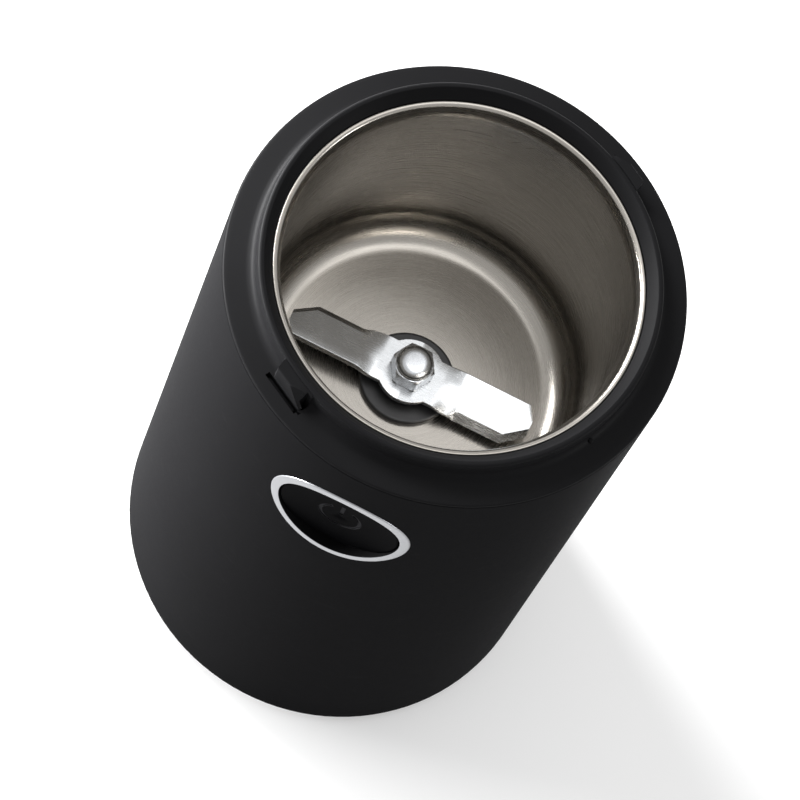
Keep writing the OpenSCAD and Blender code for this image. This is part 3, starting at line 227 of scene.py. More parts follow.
def buttonFinish(name, colour, signHighlightColour):
    # moulded button whose engraved power sign is painted paler than its face, a painted highlight that also
    # lifts the shade in the groove
    f = Finish(name)
    s = powerSign
    x, _, z = f.axes()
    up = z - s["centre"]
    radius = (x * x + up * up + 0.0000000001) ** 0.5
    gap = f.clamp((up - radius * math.cos(math.radians(s["gap"]))) / s["soft"])
    low, high = s["bar"]
    bar = f.band(x, 0.0, s["line"], s["soft"]) * f.band(up, (low + high) / 2, (high - low) / 2, s["soft"])
    sign = f.clamp(f.band(radius, s["ring"], s["line"], s["soft"]) * (1.0 - gap) + bar)
    slow = f.noise(45.0, 3.0)
    fine = f.noise(3600.0, 3.0, roughness=0.6)
    handled = f.clamp((f.noise(260.0, 5.0, roughness=0.7) - 0.62) * 6.0)
    shade = f.tones(slow, colour, 0.88, 1.12)
    shade = f.mix(handled * 0.2, shade, tint(colour, 2.2))
    # painted highlight: the engraved sign is given a paler colour
    shade = f.mix(sign, shade, tint(signHighlightColour))
    roughness = f.clamp(0.44 + (fine - 0.5) * 0.14 + (slow - 0.5) * 0.1)
    return f.done(shade, roughness, f.bump(fine, 0.006), Specular_IOR_Level=0.002)


def softTouch(name, colour):
    # rubbery lacquer of the body: very fine orange peel, faint handling marks
    f = Finish(name)
    slow = f.noise(22.0, 3.0)
    peel = f.noise(1500.0, 2.0)
    grain = f.noise(5200.0, 2.0, roughness=0.7)
    marks = f.noise(1.0, 4.0, f.stretched((160.0, 160.0, 420.0)), 0.65)
    rubbed = f.clamp((marks - 0.6) * 4.0)
    shade = f.tones(slow, colour, 0.85, 1.2)
    shade = f.mix(rubbed * 0.35, shade, tint(colour, 2.0))
    roughness = f.clamp(0.52 + (peel - 0.5) * 0.1 + (slow - 0.5) * 0.08 - rubbed * 0.06)
    height = peel * 0.55 + grain * 0.45
    return f.done(shade, roughness, f.bump(height, 0.006), Specular_IOR_Level=0.002)


def rubberFinish(name, colour):
    f = Finish(name)
    bloom = f.noise(120.0, 4.0, roughness=0.65)
    grain = f.noise(3400.0, 3.0, roughness=0.7)
    shade = f.tones(f.clamp((bloom - 0.45) * 2.0), colour, 0.85, 1.6)
    roughness = f.clamp(0.78 + (grain - 0.5) * 0.2)
    return f.done(shade, roughness, f.bump(grain, 0.02), Specular_IOR_Level=0.3)


fillMarks = {
    "radius": 0.0348,
    "line": (0.1472, 0.304, 0.115),
    "ticks": ((0.1484, 0.054), (0.1490, -0.037), (0.1494, -0.171)),
}


def spunSteel(name, colour):
    # circular tool lines of a spun and brushed bowl, with engraved fill marks at the back
    f = Finish(name)
    x, y, z = f.axes()
    radius = f.away(x, y)
    along = z - radius
    fine = f.noise(1.0, 3.0, f.join(x / radius * 3.0, y / radius * 3.0, along * 14000.0), 0.6)
    broad = f.noise(1.0, 2.0, f.join(x / radius * 1.2, y / radius * 1.2, along * 1500.0))
    smear = f.noise(70.0, 4.0, roughness=0.6)
    azimuth = f.math("ARCTAN2", 0.0 - x, y)
    height, turn, half = fillMarks["line"]
    cut = f.band(z, height, 0.00016, 0.00012) * f.band(azimuth, turn, half, 0.004)
    for height, turn in fillMarks["ticks"]:
        slope = z + (azimuth - turn) * 0.045
        cut = cut + f.band(slope, height, 0.00016, 0.00012) * f.band(azimuth, turn, 0.026, 0.004)
    cut = f.clamp(cut) * f.band(radius, fillMarks["radius"], 0.0003, 0.0001)
    shade = f.tones(broad, colour, 0.88, 1.08)
    shade = f.mix(cut * 0.6, shade, tint("#57544f"))
    roughness = f.clamp(0.27 + (fine - 0.5) * 0.22 + (smear - 0.5) * 0.12 + cut * 0.2)
    normal = f.bump(fine * 0.6 + broad * 0.3 - cut * 4.0, 0.002)
    return f.done(shade, roughness, normal, 1.0)


def brushedSteel(name, colour, rough, scales):
    f = Finish(name)
    strokes = f.noise(1.0, 3.0, f.stretched(scales), 0.6)
    x, y, z = scales
    scratches = f.noise(1.0, 2.0, f.stretched((x * 2, y * 0.3, z * 0.3), (0, 0, 0.5)))
    cloud = f.noise(160.0, 3.0)
    deep = f.clamp((scratches - 0.66) * 9.0)
    shade = f.tones(cloud, colour, 0.86, 1.06)
    shade = f.mix(deep * 0.3, shade, tint(colour, 0.6))
    roughness = f.clamp(rough + (strokes - 0.5) * 0.25 + (cloud - 0.5) * 0.1)
    return f.done(shade, roughness, f.bump(strokes - deep * 0.5, 0.006), 1.0)


def satinRing(name, colour, centre, bore):
    # bead-blasted and plated ring, painted black inside its bore
    f = Finish(name)
    x, _, z = f.axes()
    radius = (x * x + (z - centre) * (z - centre)) ** 0.5
    paint = f.clamp((bore - radius) * 20000.0)
    blast = f.noise(6200.0, 2.0, roughness=0.7)
    cloud = f.noise(240.0, 4.0, roughness=0.6)
    worn = f.clamp((f.noise(520.0, 5.0, roughness=0.7) - 0.62) * 5.0)
    shade = f.tones(cloud, colour, 0.9, 1.08)
    shade = f.mix(worn * 0.25, shade, tint("#7b7d81"))
    shade = f.mix(paint, shade, tint("#0c0c0d"))
    roughness = f.clamp(0.36 + (blast - 0.5) * 0.18 + worn * 0.1 + paint * 0.2)
    return f.done(shade, roughness, f.bump(blast, 0.005), 1.0 - paint, Specular_IOR_Level=0.02)


def turnedSteel(name, colour, rough):
    # lathe lines round the vertical axis
    f = Finish(name)
    x, y, z = f.axes()
    rings = f.noise(1.0, 2.0, f.join(f.away(x, y) * 7000.0, 0.0, z * 7000.0))
    stain = f.noise(420.0, 4.0, roughness=0.6)
    shade = f.tones(stain, colour, 0.8, 1.1)
    roughness = f.clamp(rough + (rings - 0.5) * 0.22 + (stain - 0.5) * 0.16)
    return f.done(shade, roughness, f.bump(rings, 0.006), 1.0)


def platedMetal(name, colour, rough):
    # zinc or brass plate with uneven bloom
    f = Finish(name)
    bloom = f.noise(380.0, 5.0, roughness=0.65)
    fine = f.noise(3600.0, 3.0, roughness=0.6)
    dull = f.clamp((bloom - 0.5) * 3.0)
    shade = f.tones(dull, colour, 1.0, 0.68)
    roughness = f.clamp(rough + dull * 0.14 + (fine - 0.5) * 0.12)
    return f.done(shade, roughness, f.bump(fine, 0.01), 1.0)


def castMetal(name, colour):
    f = Finish(name)
    skin = f.noise(900.0, 5.0, roughness=0.65)
    flow = f.noise(60.0, 4.0, roughness=0.6)
    pits = f.clamp((f.noise(1700.0, 2.0) - 0.68) * 8.0)
    shade = f.tones(flow, colour, 0.82, 1.1)
    shade = f.mix(pits * 0.6, shade, tint(colour, 0.45))
    roughness = f.clamp(0.48 + (skin - 0.5) * 0.25)
    return f.done(shade, roughness, f.bump(skin - pits * 0.6, 0.03), 0.9)


def sheetStack(name, colour):
    # edges of stamped sheets, half a millimetre each, under varnish
    f = Finish(name)
    x, y, z = f.axes()
    wobble = f.noise(90.0, 2.0) * 0.00006
    phase = ((z + wobble) / 0.0005) % 1.0
    joint = 1.0 - f.band(phase, 0.5, 0.38, 0.12)
    sheet = f.noise(1.0, 2.0, f.join(x * 40.0, y * 40.0, z * 2000.0))
    rust = f.clamp((f.noise(210.0, 5.0, roughness=0.7) - 0.58) * 5.0)
    shade = f.tones(sheet, colour, 0.75, 1.15)
    shade = f.mix(rust * 0.35, shade, tint("#6b4a35"))
    shade = f.mix(joint * 0.8, shade, tint("#1d1e20"))
    roughness = f.clamp(0.4 + (sheet - 0.5) * 0.2 + rust * 0.2)
    return f.done(shade, roughness, f.bump(0.0 - joint, 0.05), 0.7, Coat_Weight=0.25)


def woundCopper(name, colour):
    # lacquered wire, turn beside turn
    f = Finish(name)
    x, y, z = f.axes()
    lay = z + (x + y) * 0.05
    wander = f.noise(220.0, 3.0) * 0.0007
    phase = ((lay + wander) / 0.00042) % 1.0
    crown = f.math("SINE", phase * math.pi)
    tone = f.noise(1.0, 2.0, f.join(x * 150.0, y * 150.0, z * 2400.0))
    shade = f.tones(tone, colour, 0.7, 1.25)
    # painted shade: the valleys between turns are darkened towards deep brown
    shade = f.mix(f.clamp(0.55 - crown), shade, tint("#2b1208"))
    roughness = f.clamp(0.34 + (tone - 0.5) * 0.2)
    return f.done(shade, roughness, f.bump(crown, 0.12), 0.85, Coat_Weight=0.3)


def commutatorBars(name, colour, bars):
    f = Finish(name)
    x, y, z = f.axes()
    azimuth = f.math("ARCTAN2", y, x)
    phase = (azimuth * (bars / math.tau)) % 1.0
    gap = 1.0 - f.band(phase, 0.5, 0.44, 0.04)
    radius = f.away(x, y)
    track = f.noise(1.0, 3.0, f.join(x * 20.0, y * 20.0, z * 5200.0))
    shade = f.tones(track, colour, 0.62, 1.15)
    shade = f.mix(gap * f.clamp((radius - 0.004) * 900.0), shade, tint("#2a2119"))
    roughness = f.clamp(0.3 + (track - 0.5) * 0.3 + gap * 0.3)
    return f.done(shade, roughness, f.bump(track * 0.3 - gap, 0.06), 1.0 - gap * 0.9)


def boardFinish(name, mask, copper):
    # solder mask over tracks on a square raster
    f = Finish(name)
    x, _, z = f.axes()
    run = f.noise(1.0, 0.0, f.join(f.math("FLOOR", x * 520.0), 0.0, f.math("FLOOR", z * 180.0)))
    cross = f.noise(1.0, 0.0, f.join(f.math("FLOOR", x * 170.0), 3.0, f.math("FLOOR", z * 560.0)))
    track = f.clamp(f.clamp((run - 0.56) * 40.0) + f.clamp((cross - 0.58) * 40.0))
    weave = f.noise(2600.0, 2.0)
    shade = f.tones(weave, mask, 0.8, 1.2)
    shade = f.mix(track * 0.5, shade, tint(copper))
    roughness = f.clamp(0.3 + (weave - 0.5) * 0.16)
    return f.done(shade, roughness, f.bump(track + weave * 0.2, 0.03), Coat_Weight=0.3)


def phenolicFinish(name, colour):
    # pressed paper sheet with long fibres
    f = Finish(name)
    fibre = f.noise(1.0, 4.0, f.stretched((300.0, 2600.0, 900.0)), 0.7)
    speck = f.clamp((f.noise(1500.0, 2.0) - 0.66) * 7.0)
    shade = f.tones(fibre, colour, 0.7, 1.25)
    shade = f.mix(speck * 0.5, shade, tint("#2c160b"))
    roughness = f.clamp(0.42 + (fibre - 0.5) * 0.2)
    return f.done(shade, roughness, f.bump(fibre, 0.02), Coat_Weight=0.15)


def carbonFinish(name, colour):
    f = Finish(name)
    grain = f.noise(5200.0, 4.0, roughness=0.7)
    rub = f.noise(1.0, 2.0, f.stretched((300.0, 300.0, 4200.0)))
    shade = f.tones(grain, colour, 0.6, 1.7)
    roughness = f.clamp(0.5 + (rub - 0.5) * 0.3)
    return f.done(shade, roughness, f.bump(grain, 0.02), 0.2)


def leadFinish(name, colour):
    # PVC skin with a slight ripple
    f = Finish(name)
    ripple = f.noise(420.0, 3.0)
    fine = f.noise(4200.0, 2.0)
    shade = f.tones(ripple, colour, 0.8, 1.15)
    roughness = f.clamp(0.38 + (fine - 0.5) * 0.16 + (ripple - 0.5) * 0.12)
    return f.done(shade, roughness, f.bump(ripple + fine * 0.1, 0.05), Specular_IOR_Level=0.45)


finishes = {
    "shell": softTouch("softTouchBlack", "#121213"),
    "collar": mouldedPlastic("collarPlastic", "#171718", 0.42, 3000.0, 0.008, 0.12, 0.02, 0.18),
    "bowl_steel": spunSteel("spunBowlSteel", "#97938d"),
    "silicone": rubberFinish("greySilicone", "#4a4b4e"),
    "inner_plastic": mouldedPlastic("bushPlastic", "#2b2b2d", 0.42, 2600.0, 0.01),
    "seal_rubber": rubberFinish("lipSealRubber", "#5a2c22"),
    "chassis_plastic": mouldedPlastic("chassisNylon", "#808285", 0.5, 1500.0, 0.02, 0.18),
    "base_plastic": mouldedPlastic("basePlastic", "#1e1e20", 0.5, 1600.0, 0.02, 0.15, 0.4, 0.2),
    "zinc": platedMetal("zincPlate", "#b9bbbe", 0.34),
    "rubber": rubberFinish("footRubber", "#131314"),
    "bezel": satinRing("satinBezel", "#8b8c8f", 0.1254, 0.01312),
    "button": buttonFinish("buttonPlastic", "#070708", "#343436"),
    "white_plastic": mouldedPlastic("plungerPlastic", "#d8d5cb", 0.4),
    "switch_plastic": mouldedPlastic("switchPlastic", "#2a2b2f", 0.46),
    "board": boardFinish("greenBoard", "#1f5a36", "#4f8a52"),
    # the latch's black plastic is painted darker still, painted shade that makes the slot round the lug read
    # black
    "latch_plastic": mouldedPlastic("latchPlasticShadeBlack", "#070708", 0.5, gloss=0.05),
    "spring_steel": brushedSteel("springWire", "#bfc2c6", 0.3, (2600.0, 2600.0, 2600.0)),
    "red_plastic": mouldedPlastic("redPlastic", "#c03a2d", 0.4),
    "die_cast": castMetal("castZinc", "#a9acaf"),
    "bronze": turnedSteel("sinteredBronze", "#b08a4e", 0.42),
    "laminations": sheetStack("statorSheets", "#7c8086"),
    "copper": woundCopper("lacqueredCopper", "#b3602a"),
    "phenolic": phenolicFinish("pressedPaper", "#6a4028"),
    "brass": platedMetal("holderBrass", "#c9a55a", 0.3),
    "carbon": carbonFinish("brushCarbon", "#2c2d30"),
    "shaft_steel": turnedSteel("groundShaft", "#b6b9bc", 0.24),
    "copper_bars": commutatorBars("commutatorCopper", "#b97343", 24),
    "fan_plastic": mouldedPlastic("fanNylon", "#3a3b3e", 0.46, 1800.0, 0.016),
    "blade_steel": brushedSteel("bladeSteel", "#c6c8ca", 0.26, (180.0, 5200.0, 5200.0)),
    "nut": turnedSteel("nutSteel", "#c2c4c7", 0.26),
    "yellow_plastic": mouldedPlastic("capacitorCase", "#d2ab2c", 0.38),
    "heat_sink": brushedSteel("sinkAluminium", "#b2b5b9", 0.38, (900.0, 900.0, 5200.0)),
    "blue_plastic": mouldedPlastic("terminalPlastic", "#2f5f9e", 0.42),
    "red_lead": leadFinish("redLead", "#b02e26"),
    "black_lead": leadFinish("blackLead", "#1a1a1c"),
    "white_lead": leadFinish("whiteLead", "#d9d8d3"),
    "gland": rubberFinish("glandRubber", "#161617"),
}

for node in nodes.values():
    for place in node.material_slots:
        slotName = place.material.name.split(".")[0]
        place.material = finishes[slotName]
print("finishes set:", len(finishes))


def arcPoints(centre, radius, start, end, steps):
    turns = [math.radians(start + (end - start) * i / steps) for i in range(steps + 1)]
    return [(centre[0] + radius * math.cos(a), centre[1] + radius * math.sin(a)) for a in turns]


def shadeSmooth(mesh, angle):
    mesh.polygons.foreach_set("use_smooth", [True] * len(mesh.polygons))
    mesh.set_sharp_from_angle(angle=math.radians(angle))
    mesh.update()


def outwards(mesh):
    work = bmesh.new()
    work.from_mesh(mesh)
    bmesh.ops.remove_doubles(work, verts=work.verts, dist=0.0000005)
    bmesh.ops.recalc_face_normals(work, faces=work.faces)
    work.to_mesh(mesh)
    work.free()


def meshFrom(work, name):
    mesh = bpy.data.meshes.new(name)
    work.to_mesh(mesh)
    work.free()
    return mesh


def ringMesh(name, rings, closed=False):
    # rings of points joined into one closed surface
    work = bmesh.new()
    made = [[work.verts.new(Vector(p) * mm) for p in ring] for ring in rings]
    pairs = list(zip(made, made[1:]))
    if closed:
        pairs.append((made[-1], made[0]))
    for low, high in pairs:
        count = len(low)
        for i in range(count):
            j = (i + 1) % count
            work.faces.new((low[i], low[j], high[j], high[i]))
    if not closed:
        work.faces.new(list(reversed(made[0])))
        work.faces.new(made[-1])
    mesh = meshFrom(work, name)
    outwards(mesh)
    return mesh


def addPiece(name, mesh, finish, body, stands, angle=30.0):
    # finish is a key of finishes
    shadeSmooth(mesh, angle)
    mesh.materials.clear()
    mesh.materials.append(finishes[finish])
    piece = show(bpy.data.objects.new(name, mesh))
    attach(piece, body)
    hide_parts(*stands)
    return piece


def joinMeshes(name, meshes):
    work = bmesh.new()
    for mesh in meshes:
        work.from_mesh(mesh)
    return meshFrom(work, name)


def plainMesh(piece):
    # the evaluated object as a mesh of its own
    bpy.context.view_layer.update()
    drawn = piece.evaluated_get(bpy.context.evaluated_depsgraph_get())
    mesh = bpy.data.meshes.new_from_object(drawn)
    bpy.data.objects.remove(piece)
    return mesh


def roundRing(radius, height, count):
    turns = [math.tau * i / count for i in range(count)]
    return [(radius * math.cos(a), radius * math.sin(a), height) for a in turns]


def boxMesh(low, high, turn):
    work = bmesh.new()
    bmesh.ops.create_cube(work, size=1.0)
    middle = (Vector(low) + Vector(high)) * 0.5
    size = Vector(high) - Vector(low)
    place = Matrix.Translation(middle * mm) @ Matrix.Diagonal(size * mm).to_4x4()
    work.transform(Matrix.Rotation(turn, 4, "Z") @ place)
    return meshFrom(work, "cutter")


def cutAway(mesh, cutters):
    body = show(bpy.data.objects.new("blank", mesh))
    tools = [show(bpy.data.objects.new("tool", cutter)) for cutter in cutters]
    for tool in tools:
        step = body.modifiers.new("cut", "BOOLEAN")
        step.operation = "DIFFERENCE"
        step.solver = "EXACT"
        step.object = tool
    left = plainMesh(body)
    for tool in tools:
        bpy.data.objects.remove(tool)
    return left


def newTree(name, sockets):
    tree = bpy.data.node_groups.new(name, "GeometryNodeTree")
    tree.interface.new_socket("Geometry", in_out="INPUT", socket_type="NodeSocketGeometry")
    for label, kind, value in sockets:
        socket = tree.interface.new_socket(label, in_out="INPUT", socket_type=kind)
        if value is not None:
            socket.default_value = value
    tree.interface.new_socket("Geometry", in_out="OUTPUT", socket_type="NodeSocketGeometry")
    return tree


def lastNodes(tree, geometry, finish):
    real = addNode(tree, "GeometryNodeRealizeInstances", {}, {0: geometry})
    coated = addNode(tree, "GeometryNodeSetMaterial", {}, {0: real.outputs[0], "Material": finish})
    addNode(tree, "NodeGroupOutput", {}, {0: coated.outputs[0]})


def makeTurnedTree():
    # a closed profile carried round the vertical axis
    tree = newTree("turnedPiece", [
        ("Axis Distance", "NodeSocketFloat", 0.01),
        ("Steps", "NodeSocketInt", 96),
        ("Finish", "NodeSocketMaterial", None)])
    given = addNode(tree, "NodeGroupInput").outputs
    path = addNode(tree, "GeometryNodeCurvePrimitiveCircle", {"mode": "RADIUS"},
                   {"Resolution": given["Steps"], "Radius": given["Axis Distance"]})
    skin = addNode(tree, "GeometryNodeCurveToMesh", {},
                   {"Curve": path.outputs[0], "Profile Curve": given["Geometry"]})
    lastNodes(tree, skin.outputs[0], given["Finish"])
    return tree


def makeRoundTree():
    # copies of one piece on a circle, each turned to face away from the axis
    tree = newTree("copiesRound", [
        ("Count", "NodeSocketInt", 4),
        ("Radius", "NodeSocketFloat", 0.01),
        ("Start Turn", "NodeSocketFloat", 0.0),
        ("Finish", "NodeSocketMaterial", None)])
    given = addNode(tree, "NodeGroupInput").outputs
    points = addNode(tree, "GeometryNodePoints", {}, {"Count": given["Count"]})
    index = addNode(tree, "GeometryNodeInputIndex")
    share = addNode(tree, "ShaderNodeMath", {"operation": "DIVIDE"},
                    {0: index.outputs[0], 1: given["Count"]})
    turn = addNode(tree, "ShaderNodeMath", {"operation": "MULTIPLY_ADD"},
                   {0: share.outputs[0], 1: math.tau, 2: given["Start Turn"]})
    spin = addNode(tree, "ShaderNodeCombineXYZ", {}, {2: turn.outputs[0]})
    arm = addNode(tree, "ShaderNodeCombineXYZ", {}, {0: given["Radius"]})
    swung = addNode(tree, "ShaderNodeVectorRotate", {"rotation_type": "Z_AXIS"},
                    {"Vector": arm.outputs[0], "Angle": turn.outputs[0]})
    placed = addNode(tree, "GeometryNodeSetPosition", {},
                     {"Geometry": points.outputs[0], "Position": swung.outputs[0]})
    copies = addNode(tree, "GeometryNodeInstanceOnPoints", {},
                     {"Points": placed.outputs[0], "Instance": given["Geometry"],
                      "Rotation": spin.outputs[0]})
    lastNodes(tree, copies.outputs[0], given["Finish"])
    return tree


def makeWireTree():
    # a round wire along the given curve, closed at both ends
    tree = newTree("wirePiece", [
        ("Wire Radius", "NodeSocketFloat", 0.0003),
        ("Sides", "NodeSocketInt", 16),
        ("Finish", "NodeSocketMaterial", None)])
    given = addNode(tree, "NodeGroupInput").outputs
    ring = addNode(tree, "GeometryNodeCurvePrimitiveCircle", {"mode": "RADIUS"},
                   {"Resolution": given["Sides"], "Radius": given["Wire Radius"]})
    skin = addNode(tree, "GeometryNodeCurveToMesh", {},
                   {"Curve": given["Geometry"], "Profile Curve": ring.outputs[0], "Fill Caps": True})
    lastNodes(tree, skin.outputs[0], given["Finish"])
    return tree


def runTree(name, data, tree, values):
    source = show(bpy.data.objects.new(name, data))
    step = source.modifiers.new("build", "NODES")
    step.node_group = tree
    for socket in tree.interface.items_tree:
        if socket.in_out == "INPUT" and socket.name in values:
            step[socket.identifier] = values[socket.name]
    return plainMesh(source)


turnedTree = makeTurnedTree()
roundTree = makeRoundTree()
wireTree = makeWireTree()


def turned(name, profile, finish, steps):
    # profile is a closed line of (radius, height) in millimetres
    radii = [p[0] for p in profile]
    middle = (min(radii) + max(radii)) / 2
    line = bpy.data.curves.new(name, "CURVE")
    line.dimensions = "3D"
    spline = line.splines.new("POLY")
    spline.points.add(len(profile) - 1)
    for point, (radius, height) in zip(spline.points, profile):
        point.co = ((radius - middle) * mm, -height * mm, 0.0, 1.0)
    spline.use_cyclic_u = True
    mesh = runTree(name, line, turnedTree, {
        "Axis Distance": middle * mm, "Steps": steps, "Finish": finishes[finish]})
    outwards(mesh)
    return mesh


def spread(name, mesh, finish, count, radius, startTurn):
    return runTree(name, mesh, roundTree, {
        "Count": count, "Radius": radius * mm, "Start Turn": math.radians(startTurn),
        "Finish": finishes[finish]})


def roundedLine(corners, reach, steps=5):
    # a line through the corners, each one rounded over a short reach
    points = [corners[0]]
    for before, corner, after in zip(corners, corners[1:], corners[2:]):
        spot = Vector(corner)
        back, onward = Vector(before) - spot, Vector(after) - spot
        size = min(reach, back.length * 0.45, onward.length * 0.45)
        start, end = spot + back.normalized() * size, spot + onward.normalized() * size
        for i in range(steps + 1):
            t = i / steps
            points.append(tuple(start * (1 - t) ** 2 + spot * 2 * t * (1 - t) + end * t ** 2))
    return points + [corners[-1]]


bowl = {
    "innerRadius": 34.8,
    "steel": 0.7,
    "floor": 97.4,
    "rim": 156.6,
    "fillet": 7.0,
    "lip": 0.95,
    "lipTilt": 22.0,
    "flareRound": 1.0,
    "flange": 0.5,
    "rimRadius": 36.8,
    "hole": 6.9,
    "edge": 0.3,
}


def makeBowl():
    b = bowl
    steel = b["steel"]
    edgeAt = (b["rimRadius"] - b["edge"], b["rim"] - b["edge"])
    lipAt = (edgeAt[0], b["rim"] - b["lip"])
    lip = arcPoints(lipAt, b["lip"], 180 - b["lipTilt"], 90, 14)
    flareFoot = lip[0][1] - (lip[0][0] - b["innerRadius"]) / math.tan(math.radians(b["lipTilt"]))
    filletAt = (b["innerRadius"] - b["fillet"], b["floor"] + b["fillet"])
    wallFoot, wallTop = Vector((b["innerRadius"], filletAt[1])), Vector((b["innerRadius"], flareFoot))
    wallInside = [tuple(wallFoot.lerp(wallTop, step / 8)) for step in range(1, 8)]
    nearTop = wallFoot.lerp(wallTop, 0.9)
    wallInside += roundedLine([tuple(nearTop), tuple(wallTop), lip[0]], b["flareRound"], 8)[:-1]
    inner = [(b["hole"], b["floor"])]
    inner += [(b["hole"] + step * (filletAt[0] - b["hole"]) / 6, b["floor"]) for step in range(1, 6)]
    inner += arcPoints(filletAt, b["fillet"], -90, 0, 24) + wallInside
    inner += lip + arcPoints(edgeAt, b["edge"], 90, 0, 5)[1:]
    outer = [(b["rimRadius"], b["rim"] - steel), (lip[0][0] + b["flange"], b["rim"] - steel)]
    outer += [(b["innerRadius"] + steel, flareFoot)]
    outer += arcPoints(filletAt, b["fillet"] + steel, 0, -90, 16)
    outer += [(b["hole"], b["floor"] - steel)]
    mesh = turned("bowl", inner + outer, "bowl_steel", 256)
    addPiece("spunBowl", mesh, "bowl_steel", "housing", ["grinding_bowl"])


makeBowl()
print("bowl made")


collar = {
    "bore": 37.4,
    "seatRadius": 36.9,
    "seatFloor": 154.4,
    "under": 150.2,
    "skirtFoot": 147.9,
    "skirtOut": 43.6,
    "skirtIn": 41.9,
    "seam": 152.4,
    "edge": 46.0,
    "neck": 39.9,
    "crest": 158.9,
    "crestRound": 0.7,
    "crestInside": 38.9,
    "crestEdge": 0.3,
    "funnel": ((37.75, 157.55), (37.0, 156.72), (36.9, 156.58)),
    "bevel": (0.25, 0.15),
    "inset": 0.1,
    "shelfEdge": 0.5,
    "shelfRise": 1.4,
    "fillet": 2.2,
    "lugTurns": (-29.0, 150.0),
    "lugSquare": (4.0, 3.4),
    "lugFoot": 4.9,
    "lugFace": 42.1,
    "lugStep": 40.2,
    "lugTop": 158.68,
    "lugRound": 0.34,
    "lugOverlap": 0.07,
    "lugFlare": 0.35,
    "lugBlend": (0.02, 0.12),
    "lugCorner": 0.4,
    "lugFaceStops": (-2.0, -0.7, 0.7, 2.0, 3.2),
    "lugTopStops": (0.012, 0.04, 0.08, 0.14, 0.22, 0.34, 0.5, 0.68, 0.85, 1.0),
    "ramp": (4.3, 2.3, 4.8),
    "rampSpare": 0.5,
    "slot": ((-4.7, -43.1, 149.7), (4.7, -42.1, 158.2)),
    "window": ((3.75, -41.6, 149.7), (5.1, -40.0, 159.4)),
    "plungerRoom": ((-4.6, -44.3, 147.4), (4.6, -39.25, 150.2)),
    "columns": 360,
    "columnShift": 0.31,
    "columnGap": 0.004,
}


def lugOutline():
    # outline of a lug from neck to neck as (along, outwards): a square side, the face, a ramp side
    c = collar
    root, tip = c["lugSquare"]
    aside, outBy = c["lugBlend"]

    def onNeck(along):
        return math.sqrt(c["neck"] ** 2 - along * along)

    squareFoot, rampFoot = -root - c["lugFlare"], c["lugFoot"] + c["lugFlare"]
    corners = [(squareFoot, onNeck(squareFoot)), (-root - aside, onNeck(squareFoot) + outBy),
               (-root, c["lugStep"]), (-tip, c["lugFace"])]
    corners += [(c["lugFoot"], c["lugFace"]), (c["lugFoot"] + aside, onNeck(rampFoot) + outBy),
                (rampFoot, onNeck(rampFoot))]
    points = roundedLine(corners, c["lugCorner"])
    middle = [(along, c["lugFace"]) for along in c["lugFaceStops"]]
    return sorted(points + middle, key=lambda p: math.atan2(p[0], p[1]))


def insideLug(along, outwardsBy):
    # distance from the sides of the lug, positive inside
    c = collar
    root, tip = c["lugSquare"]
    side = Vector((root - tip, c["lugStep"] - c["lugFace"])).normalized()
    slant = (-along - tip) * side.y - (outwardsBy - c["lugFace"]) * side.x
    return min(c["lugFace"] - outwardsBy, slant, c["lugFoot"] + 0.1 - along)


def crestHeight(radius):
    c = collar
    soft = c["crestRound"]
    across = min(max(radius - c["neck"] + soft, 0.0), soft)
    return c["crest"] - soft + math.sqrt(soft ** 2 - across ** 2)


def shelfSection():
    # outer edge, shelf and fillet in one line, each tangent to the next
    c = collar
    edgeAt = Vector((c["edge"] - c["inset"] - c["shelfEdge"], c["seam"] + c["bevel"][1]))
    filletAt = Vector((c["neck"] + c["fillet"], c["seam"] + c["shelfRise"] + c["fillet"]))
    gap = filletAt - edgeAt
    normal = math.atan2(gap.y, gap.x) - math.acos((c["shelfEdge"] + c["fillet"]) / gap.length)
    normal = math.degrees(normal)
    edge = arcPoints(edgeAt, c["shelfEdge"], 0, normal, 6)
    fillet = arcPoints(filletAt, c["fillet"], 180 + normal, 180, 20)
    start, end = Vector(edge[-1]), Vector(fillet[0])
    shelf = [tuple(start.lerp(end, t)) for t in (0.2, 0.4, 0.6, 0.8)]
    return edge + shelf, fillet


def collarColumn(turn, reach, lugTurn):
    # one upright section: turn in radians, reach is how far the lug stands out here
    c = collar
    roundBy, bevelBy = c["bevel"]
    shelf, fillet = shelfSection()
    section = [(c["bore"], c["under"]), (c["skirtIn"], c["under"]), (c["skirtIn"], c["skirtFoot"])]
    section += [(c["skirtOut"], c["skirtFoot"]), (c["skirtOut"], c["seam"]), (c["edge"] - roundBy, c["seam"])]
    section += [(c["edge"] - (roundBy + c["inset"]) / 2, c["seam"] + bevelBy / 2)] + shelf
    section += [fillet[0]] + [(max(r, reach), z) for r, z in fillet[1:]]
    wallTop = c["lugTop"] - c["lugRound"]
    low = fillet[-1][1]
    section += [(reach, low + (wallTop - low) * t) for t in (0.25, 0.5, 0.75, 1.0)]
    hasLug = reach > c["neck"] + 0.001
    inset, edgeRound, away = c["neck"] - c["lugOverlap"], c["lugRound"], lugTurn - turn
    for t in c["lugTopStops"]:
        radius = reach + (inset - reach) * t
        depth = insideLug(radius * math.sin(away), radius * math.cos(away))
        left = min(edgeRound, max(0.0, edgeRound - depth))
        lifted = c["lugTop"] - (edgeRound - math.sqrt(edgeRound ** 2 - left ** 2))
        section.append((radius, max(lifted if hasLug else wallTop, crestHeight(radius))))
    soft, edge = c["crestRound"], c["crestEdge"]
    crest = arcPoints((c["neck"] - soft, c["crest"] - soft), soft, 0, 90, 16)
    section += [p for p in crest if p[0] < inset - 0.01]
    section += arcPoints((c["crestInside"], c["crest"] - edge), edge, 90, 150, 5)
    section += list(c["funnel"]) + [(c["seatRadius"], c["seatFloor"]), (c["bore"], c["seatFloor"])]
    return [(r * math.sin(turn), -r * math.cos(turn), z) for r, z in section]


